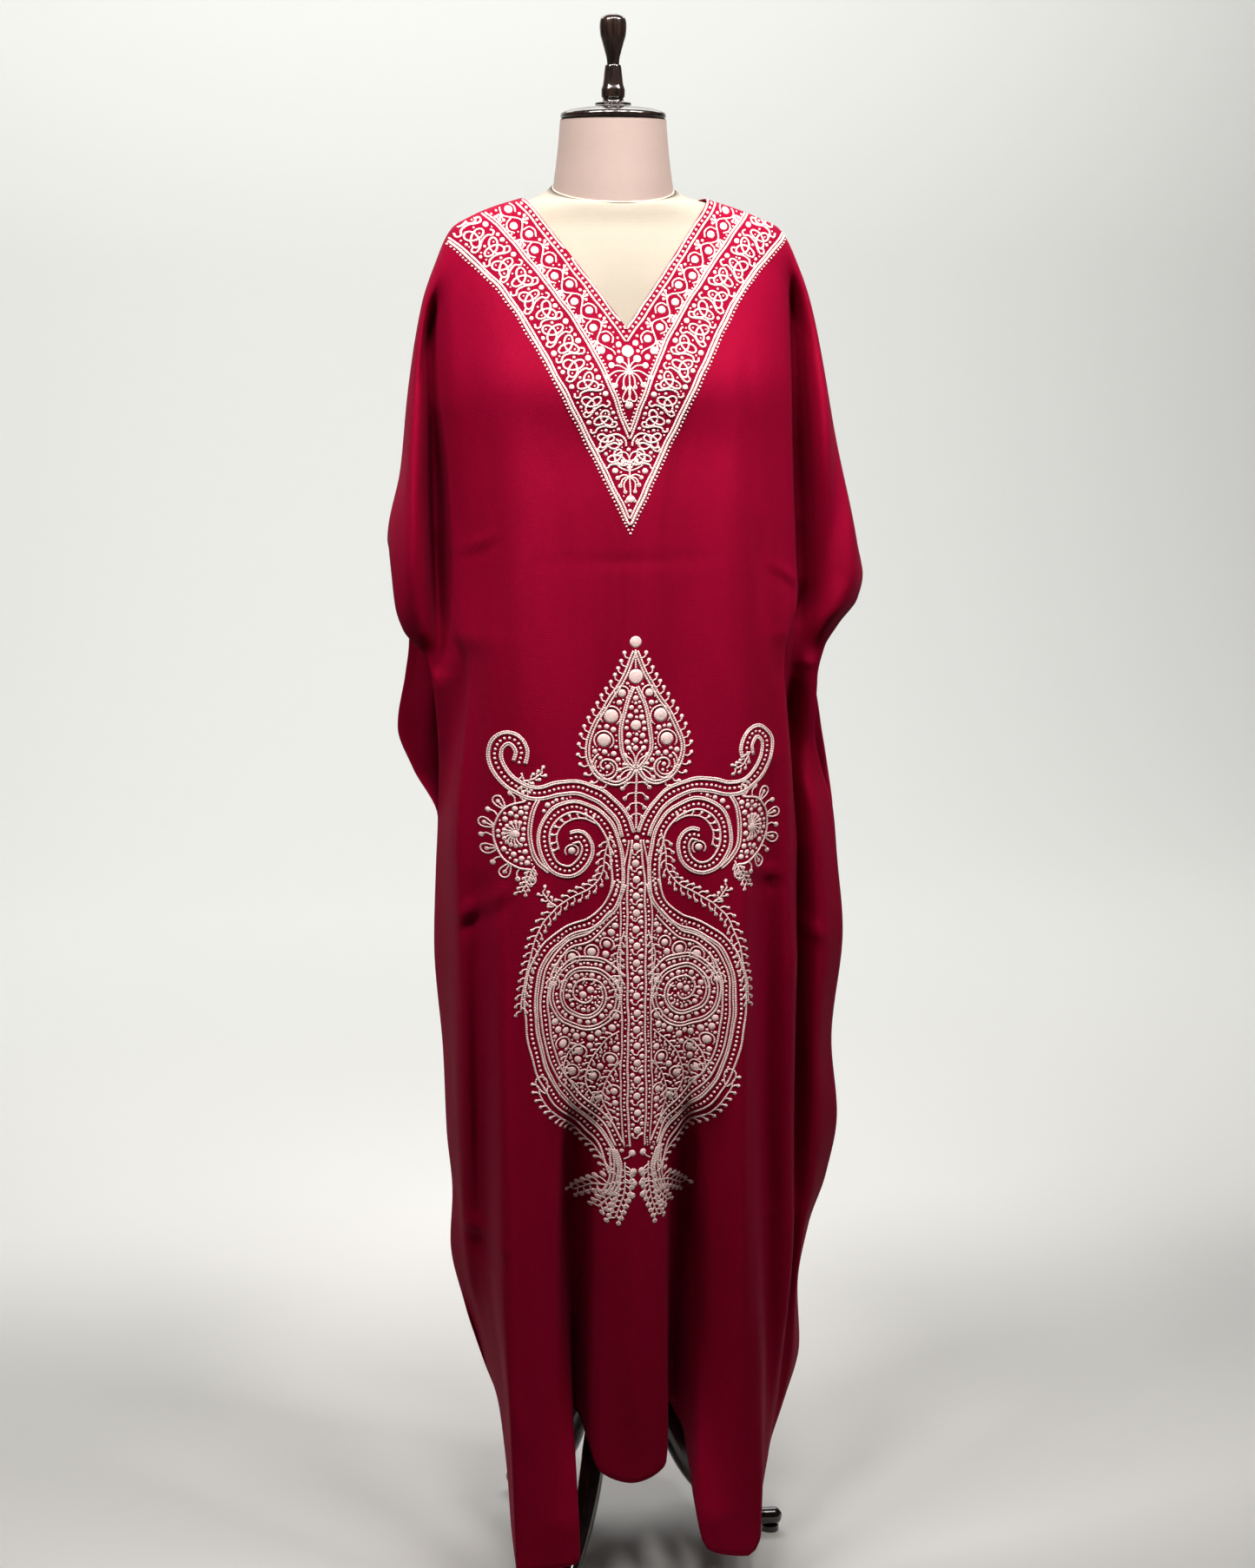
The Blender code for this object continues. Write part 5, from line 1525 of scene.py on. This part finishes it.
NECK_TIP = 1.4590
FLORAL_TIP = 1.3423
BORDER_TIP = 1.2467
neck_edge = drawn_line([
    (0.125, 1.631), (0.1035, 1.600), (0.0770, 1.5644), (0.0402, 1.514), (0.0, NECK_TIP), (-0.040, 1.404)])
floral_edge = drawn_line([
    (0.172, 1.610), (0.1475, 1.584), (0.1235, 1.558), (0.0605, 1.4735), (0.027, 1.4115),
    (0.0, FLORAL_TIP), (-0.024, 1.284)])
border = drawn_line([
    (0.214, 1.583), (0.187, 1.556), (0.137, 1.505), (0.1035, 1.453), (0.0492, 1.348),
    (0.0, BORDER_TIP), (-0.040, 1.166)])
vine_path = drawn_line([
    (0.150, 1.618), (0.130, 1.592), (0.1045, 1.559), (0.061, 1.500), (0.0415, 1.4735),
    (0.028, 1.450), (0.020, 1.428)], 0.001)
scroll_path = drawn_line([
    (0.190, 1.600), (0.168, 1.572), (0.139, 1.539), (0.1105, 1.505), (0.076, 1.453),
    (0.048, 1.400), (0.0262, 1.348), (0.0190, 1.325)], 0.001)

half_yoke = Pattern()
for distance in (0.0018, 0.0094):
    half_yoke.thread(right_part(beside(neck_edge, distance)), LINE)
half_yoke.knots_along(right_part(beside(neck_edge, 0.0056)), 0.0060, 0.0017)
for distance in (-0.0016, 0.0016):
    half_yoke.thread(right_part(beside(floral_edge, distance)), LINE)
half_yoke.knots_along(right_part(beside(floral_edge, -0.0042)), 0.0043, 0.0013)
half_yoke.thread(right_part(beside(border, -0.0026)), LINE)
half_yoke.thread(right_part(beside(border, 0.0009)), LINE * 1.35)
half_yoke.knots_along(right_part(beside(border, 0.0044)), 0.0043, 0.0014)

VINE_WAVE = 0.034
VINE_SWING = 0.0062
vine_length = np.linalg.norm(np.diff(vine_path, axis=0), axis=1).sum()
vine_along = np.arange(0.0, vine_length, THREAD_STEP)
vine_turn = 2.0 * math.pi * vine_along / VINE_WAVE
half_yoke.thread(
    carried(vine_path, np.stack([vine_along, VINE_SWING * np.sin(vine_turn)], axis=-1)), FINE_LINE)
for number in range(int(vine_length / VINE_WAVE * 2)):
    middle = (number + 0.5) * VINE_WAVE / 2
    side = 1.0 if number % 2 == 0 else -1.0
    flower = carried(vine_path, (middle, -side * 0.0036))[0]
    half_yoke.blossom(flower, 0.0045)
    outer = carried(vine_path, [
        (middle - 0.0080, -side * 0.0010), (middle - 0.0062, -side * 0.0082),
        (middle + 0.0006, -side * 0.0112), (middle + 0.0066, -side * 0.0076)])
    half_yoke.thread(drawn_line(outer, SMALL_STEP), FINE_LINE)
    leaf_root = carried(vine_path, (middle, side * VINE_SWING))[0]
    leaf_tip = carried(vine_path, (middle + 0.0030, side * (VINE_SWING + 0.0066)))[0]
    lean = math.atan2(*(leaf_tip - leaf_root)[::-1])
    for turn in (-0.75, 0.0, 0.75):
        half_yoke.bud(leaf_root, lean + turn, 0.0062, 0.0019, 0.3)

SCROLL_PITCH = 0.0215
scroll_length = np.linalg.norm(np.diff(scroll_path, axis=0), axis=1).sum()
knot_turn = np.linspace(0.0, 2.0 * math.pi, 72)
for number in range(int(scroll_length / SCROLL_PITCH) + 1):
    middle = (number + 0.5) * SCROLL_PITCH
    side = 1.0 if number % 2 == 0 else -1.0
    loops = np.stack([
        np.sin(knot_turn) + 1.75 * np.sin(2.0 * knot_turn),
        side * (np.cos(knot_turn) - 1.75 * np.cos(2.0 * knot_turn))], axis=-1) * (0.0039, 0.0046)
    size = float(np.interp(middle, [0.0, 0.75 * scroll_length, scroll_length], [1.0, 1.0, 0.8]))
    clover = carried(scroll_path, loops * size + (middle, side * 0.0034))
    half_yoke.thread(even_steps(clover, SMALL_STEP), LINE)
    crossing = np.array([
        (0.0045, -0.0150), (0.0085, -0.0165), (0.0105, -0.0120), (0.0070, -0.0080),
        (0.0078, 0.0010), (0.0118, 0.0080), (0.0130, 0.0140), (0.0090, 0.0165), (0.0068, 0.0125)])
    stem = crossing * (size, side * size) + (middle, 0.0)
    half_yoke.thread(drawn_line(carried(scroll_path, stem), SMALL_STEP), LINE)

SPRIG_ROOT = np.array([0.0, 1.4120])
for angle, length, radius in (
    (0.35, 0.020, 0.0036), (0.95, 0.016, 0.0044), (-0.25, 0.024, 0.0030),
    (-0.75, 0.021, 0.0032), (-1.20, 0.018, 0.0026)):
    half_yoke.bud(SPRIG_ROOT, angle, length, radius, 0.3)
half_yoke.blossom((0.0290, 1.4345), 0.0046)
half_yoke.petal((0.0, 1.3970), -1.25, 0.018, 0.0060)
half_yoke.petal((0.0, 1.3060), 0.95, 0.022, 0.0130)
half_yoke.bud((0.0, 1.3060), 0.95, 0.012, 0.0034, 0.0)
half_yoke.thread(turning((0.0155, 1.3360), [
    (200, 0.0125), (110, 0.0095), (20, 0.0085), (-70, 0.0075), (-160, 0.0052), (-250, 0.0040)]), LINE)
for angle, length, radius in ((-0.10, 0.013, 0.0026), (-0.75, 0.014, 0.0026), (-1.25, 0.017, 0.0024)):
    half_yoke.bud((0.0, 1.2990), angle, length, radius, 0.4)
half_yoke.bud((0.0, 1.2790), -0.95, 0.0085, 0.0020, 0.3)

yoke = half_yoke.mirrored(0.0)
yoke.knot((0.0, 1.4330), 0.0070)
yoke.knot((0.0, 1.3760), 0.0046)
yoke.knot((0.0, 1.2745), 0.0042)
yoke.knot((0.0, 1.2620), 0.0022)
yoke.thread(drawn_line([(0.0, 1.4255), (0.0003, 1.4000), (0.0, 1.3770)]), FINE_LINE)
yoke.thread(drawn_line([(0.0, 1.3130), (0.0003, 1.2900), (0.0, 1.2770)]), FINE_LINE)
for band_inner, band_outer in (
    (beside(neck_edge, 0.0104), beside(floral_edge, -0.0058)),
    (beside(floral_edge, 0.0026), beside(border, -0.0038))):
    inner = right_part(band_inner)
    outer = right_part(band_outer)
    ring = np.concatenate([inner, mirror(inner[::-1], 0.0), mirror(outer, 0.0), outer[::-1]])
    fill_gaps(yoke, ring, 0.0034, 0.0010)
yoke_embroidery = embroidered("yoke_embroidery", yoke)
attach(yoke_embroidery, "root")


# Skirt embroidery: the same chain stitch in a tall symmetrical figure down the front
# panel. A pointed leaf rises from a centre stem, two hooked arms spread above a pair of
# spirals, leafy vines run down to an oval body of two paisleys, and it ends in two feet.
SHEET_UNIT = 0.0009545
SHEET_TOP = 1.1580
SHEET_STEP_DOWN = 0.000954
SHEET_GROWTH = 5.4e-8
MOTIF_MIDDLE = 0.0050
BAND_WIDTH = 0.0112


def on_sheet(marks):
    """Places of a drawing on squared paper whose squares are just under a millimetre
    wide and grow a little taller toward the hem: a quadratic in the distance down."""
    marks = np.atleast_2d(np.asarray(marks, float))
    down = marks[:, 1]
    return np.stack([
        MOTIF_MIDDLE + marks[:, 0] * SHEET_UNIT,
        SHEET_TOP - SHEET_STEP_DOWN * down - SHEET_GROWTH * down ** 2], axis=-1)


def sheet_line(*marks):
    """Smooth line through places on the squared paper."""
    return drawn_line(on_sheet(marks))


half_motif = Pattern()

leaf_line = sheet_line(
    (1, 52), (15, 83), (33, 112), (48, 137), (56, 161), (53, 181), (41, 197), (24, 203), (9, 197), (2, 187))
half_motif.thread(beside(leaf_line, 0.0014))
half_motif.thread(beside(leaf_line, -0.0020))
edge_marks = even_steps(leaf_line, 0.0092)
edge_way = np.gradient(edge_marks, axis=0)
edge_angles = np.arctan2(edge_way[:, 1], edge_way[:, 0])
for mark, angle in list(zip(edge_marks, edge_angles))[1:-4]:
    out = np.array([-math.sin(angle), math.cos(angle)]) * 0.0024
    half_motif.bud(mark + out, angle + math.radians(118), 0.0082, 0.0025, -0.5)
lance_line = sheet_line((1, 93), (9, 112), (15, 136), (16, 163), (9, 178), (1, 186))
half_motif.thread(lance_line)
half_motif.thread(beside(lance_line, 0.0026), FINE_LINE)
half_motif.blossom(on_sheet((29, 126))[0], 0.0082, ring=True)
half_motif.blossom(on_sheet((37, 154))[0], 0.0078, ring=True)
half_motif.blossom(on_sheet((16, 99))[0], 0.0048, ring=True)
curl_middle = on_sheet((34, 184))[0]
half_motif.thread(turning(curl_middle, [
    (60, 0.0170), (-20, 0.0155), (-100, 0.0140), (-180, 0.0115), (-260, 0.0085), (-340, 0.0062),
    (-420, 0.0040)]))
half_motif.thread(turning(curl_middle, [
    (35, 0.0128), (-60, 0.0108), (-150, 0.0086), (-230, 0.0060)]), FINE_LINE)
leaf_root = on_sheet((1, 186))[0]
for angle, length, radius in (
    (72, 0.024, 0.0030), (52, 0.019, 0.0030), (24, 0.013, 0.0024), (-4, 0.017, 0.0026),
    (-30, 0.021, 0.0028), (-58, 0.020, 0.0026)):
    half_motif.bud(leaf_root, math.radians(angle), length, radius, 0.3)
for down, angle, length in ((203, -20, 0.015), (214, -28, 0.013), (226, -35, 0.010), (238, -40, 0.007)):
    half_motif.bud(on_sheet((1, down))[0], math.radians(angle), length, 0.0027, 0.4)

arm_line = sheet_line(
    (9, 262), (15, 245), (27, 229), (44, 216), (66, 208), (90, 208), (110, 213), (131, 209),
    (150, 196), (160, 178), (160, 161), (150, 151), (139, 153), (132, 165), (134, 178))
half_motif.band(arm_line, BAND_WIDTH)
half_motif.thread(beside(arm_line, 0.0078), FINE_LINE)
half_motif.thread(beside(arm_line, -0.0078), FINE_LINE)
spiral_line = sheet_line(
    (24, 330), (22, 308), (24, 282), (32, 256), (49, 238), (72, 230), (93, 237), (105, 256),
    (105, 279), (94, 297), (76, 303), (62, 293), (57, 277), (64, 265), (75, 266))
half_motif.band(spiral_line, BAND_WIDTH)
half_motif.thread(beside(spiral_line, 0.0078), FINE_LINE)
half_motif.spray(
    sheet_line((44, 250), (62, 243), (82, 247), (92, 262), (90, 278)), 0.0080, 0.0075, -1.0, (-1,), 0.0021)
half_motif.blossom(on_sheet((75, 280))[0], 0.0042, ring=True)
half_motif.spray(
    sheet_line((30, 262), (36, 285), (38, 305), (52, 322), (72, 333), (92, 344)), 0.0090, 0.0100, 0.85,
    (1, -1), 0.0023)
half_motif.spray(
    sheet_line((92, 344), (101, 338), (109, 326)), 0.0080, 0.0068, 0.9, (1, -1), 0.0022)
half_motif.spray(
    sheet_line((92, 344), (108, 360), (120, 384), (127, 412), (133, 440), (135, 462)), 0.0095, 0.0100, 0.80,
    (1, -1), 0.0023, 0.8)
for reach, width in ((0.0, LINE), (0.0030, FINE_LINE)):
    half_motif.thread(beside(sheet_line(
        (112, 222), (119, 236), (122, 256), (120, 276), (112, 292), (100, 303)), reach), width)
wheel = on_sheet((139, 260))[0]
half_motif.blossom(wheel, 0.0050)
for turn in range(-110, 111, 22):
    half_motif.bud(wheel, math.radians(turn), 0.0135, 0.0026, 0.2)
fringe_line = sheet_line((128, 222), (149, 229), (161, 246), (163, 268), (154, 287), (138, 298), (122, 300))
half_motif.thread(fringe_line)
fringe_marks = even_steps(fringe_line, 0.0125)
fringe_way = np.gradient(fringe_marks, axis=0)
for number, (mark, way) in enumerate(zip(fringe_marks, fringe_way)):
    outward = math.atan2(way[1], way[0]) + math.pi / 2
    if number % 2 == 0:
        half_motif.petal(mark, outward, 0.0165, 0.0088)
        half_motif.bud(mark, outward, 0.0105, 0.0025, 0.0)
    else:
        half_motif.bud(mark, outward, 0.0120, 0.0030, 0.4)
half_motif.spray(sheet_line((118, 296), (126, 312), (133, 326)), 0.0070, 0.0070, 0.8, (1, -1), 0.0022)

for reach, width in ((10, LINE), (17, FINE_LINE)):
    half_motif.thread(sheet_line(
        (reach * 0.5, 268), (reach, 320), (reach * 1.1, 400), (reach, 480), (reach * 1.1, 560),
        (reach * 0.9, 618)), width)
body_line = sheet_line(
    (20, 316), (30, 342), (52, 362), (86, 376), (109, 395), (122, 424), (125, 460), (120, 503),
    (107, 543), (84, 576), (56, 598), (36, 620), (26, 650))
half_motif.band(body_line, BAND_WIDTH)
half_motif.thread(beside(body_line, -0.0082), FINE_LINE)
inner_body = sheet_line(
    (26, 352), (52, 378), (80, 390), (100, 412), (108, 445), (105, 490), (92, 532), (66, 566),
    (34, 592), (20, 616))
half_motif.band(inner_body, BAND_WIDTH * 0.75, 0.0015)
paisley_middle = on_sheet((58, 446))[0]
half_motif.thread(turning(paisley_middle, [
    (150, 0.0460), (90, 0.0440), (30, 0.0420), (-40, 0.0410), (-110, 0.0400), (-180, 0.0370), (-240, 0.0330),
    (-300, 0.0310), (-380, 0.0290), (-460, 0.0260), (-540, 0.0225), (-630, 0.0180), (-720, 0.0135),
    (-810, 0.0090), (-900, 0.0060)]), LINE)
half_motif.thread(turning(paisley_middle, [
    (120, 0.0415), (60, 0.0390), (0, 0.0380), (-70, 0.0370), (-150, 0.0345), (-220, 0.0300),
    (-300, 0.0276), (-400, 0.0250), (-490, 0.0215), (-580, 0.0168)]), FINE_LINE)
for turn in range(0, 360, 36):
    angle = math.radians(turn)
    place = paisley_middle + 0.0130 * np.array([math.cos(angle), math.sin(angle)])
    half_motif.bud(place, angle + 0.6, 0.0060, 0.0021, 0.4)
for mark, radius in (
    ((74, 404), 0.0052), ((52, 396), 0.0050), ((34, 388), 0.0042), ((98, 432), 0.0044),
    ((86, 502), 0.0052), ((66, 512), 0.0046), ((74, 536), 0.0052), ((50, 540), 0.0050),
    ((30, 520), 0.0046), ((42, 566), 0.0044), ((26, 556), 0.0040), ((24, 470), 0.0040), ((24, 430), 0.0038)):
    half_motif.blossom(on_sheet(mark)[0], radius, ring=True)
for marks in (
    ((20, 486), (36, 500), (52, 520), (58, 548), (44, 570)),
    ((18, 520), (32, 540), (38, 566), (28, 590)),
    ((60, 500), (80, 516), (84, 538), (66, 554)),
    ((14, 372), (22, 398), (20, 424), (26, 448)),
    ((88, 400), (94, 420), (86, 434))):
    half_motif.spray(sheet_line(*marks), 0.0085, 0.0068, 0.9, (1, -1), 0.0021)
half_motif.spray(
    sheet_line((26, 652), (44, 628), (66, 606), (92, 586), (112, 562), (116, 548)), 0.0088, 0.0085, -0.9,
    (1,), 0.0024, 0.9)
half_motif.petal(on_sheet((108, 556))[0], math.radians(72), 0.0210, 0.0100)

for reach in (0.0, 4.0, 8.0, 12.0):
    half_motif.thread(sheet_line(
        (24 + reach * 0.6, 622), (18 + reach, 640), (20 + reach, 658), (27 + reach, 676)))
half_motif.spray(
    sheet_line((26, 660), (42, 668), (54, 676), (66, 684)), 0.0074, 0.0125, 0.75, (1, -1), 0.0036, 0.8)
half_motif.spray(
    sheet_line((14, 636), (14, 660), (18, 680), (26, 700)), 0.0074, 0.0125, 0.62, (1, -1), 0.0036, 0.8)
half_motif.spray(sheet_line((24, 668), (34, 682), (42, 694)), 0.0072, 0.0100, 0.7, (1, -1), 0.0034, 0.8)
for down, angle, length in (
    (632, 140, 0.0120), (644, -170, 0.0110), (656, -160, 0.0110), (668, -150, 0.0100)):
    half_motif.bud(on_sheet((16, down))[0], math.radians(angle), length, 0.0040, 0.2)

motif = half_motif.mirrored(MOTIF_MIDDLE)
motif.knot(on_sheet((0, 41))[0], 0.0068)
motif.knot(on_sheet((0, 81))[0], 0.0088)
motif.knot(on_sheet((0, 137))[0], 0.0062)
motif.knot(on_sheet((0, 121))[0], 0.0026)
motif.knot(on_sheet((0, 112))[0], 0.0018)
motif.thread(sheet_line((0, 50), (0, 72)), FINE_LINE)
motif.thread(sheet_line((0, 187), (0, 220), (0, 256)), LINE)
motif.spray(sheet_line((-132, 190), (-128, 206)), 0.0070, 0.0070, 0.9, (1, -1), 0.0022)
motif.spray(sheet_line((-130, 199), (-118, 196), (-108, 190)), 0.0068, 0.0066, 0.8, (1, -1), 0.0023)
motif.spray(sheet_line((136, 172), (128, 185), (118, 190)), 0.0068, 0.0066, 0.8, (1, -1), 0.0023)
stem_edge = sheet_line(
    (2, 258), (24, 296), (22, 330), (36, 346), (58, 362), (90, 378), (110, 398), (119, 430), (120, 470),
    (114, 508), (100, 544), (78, 574), (50, 596), (32, 618), (16, 626), (2, 606))
body_outline = np.concatenate([stem_edge, mirror(stem_edge, MOTIF_MIDDLE)[::-1]])
leaf_outline = np.concatenate([leaf_line, mirror(leaf_line, MOTIF_MIDDLE)[::-1]])
BUD_LEAN = 0.75
for down in range(276, 612, 19):
    motif.blossom(on_sheet((0, down))[0], 0.0043)
    for lean in (BUD_LEAN, math.pi - BUD_LEAN):
        motif.bud(on_sheet((0, down + 10))[0], lean, 0.0078, 0.0020, 0.4)
fill_gaps(motif, body_outline, 0.0040, 0.0009, 0.0008)
fill_gaps(motif, leaf_outline, 0.0032, 0.0010, 0.0009)
for marks in (
    ((12, 262), (22, 240), (44, 224), (70, 216), (100, 222), (112, 240), (106, 250), (90, 232), (68, 224),
     (46, 232), (28, 252), (20, 290), (14, 290)),
    ((112, 220), (150, 230), (160, 250), (160, 270), (150, 286), (124, 298), (116, 290), (124, 262)),
    ((18, 624), (34, 640), (44, 672), (36, 694), (24, 690), (18, 660))):
    patch = on_sheet(marks)
    fill_gaps(motif, patch, 0.0032, 0.0010, 0.0009)
    fill_gaps(motif, mirror(patch, MOTIF_MIDDLE), 0.0032, 0.0010, 0.0009)

# The figure is made as two pieces: a name, and the heights that its stitches lie between.
FIGURE_PARTS = (("skirt_leaf_and_arms", 0.800, 1.200), ("skirt_body_and_feet", 0.100, 0.800))
for name, lowest, highest in FIGURE_PARTS:
    figure_part = Pattern()
    figure_part.threads = [thread for thread in motif.threads if lowest < np.mean(thread[0][:, 1]) <= highest]
    figure_part.knots = [knot for knot in motif.knots if lowest < knot[1] <= highest]
    piece = embroidered(name, figure_part)
    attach(piece, "root")
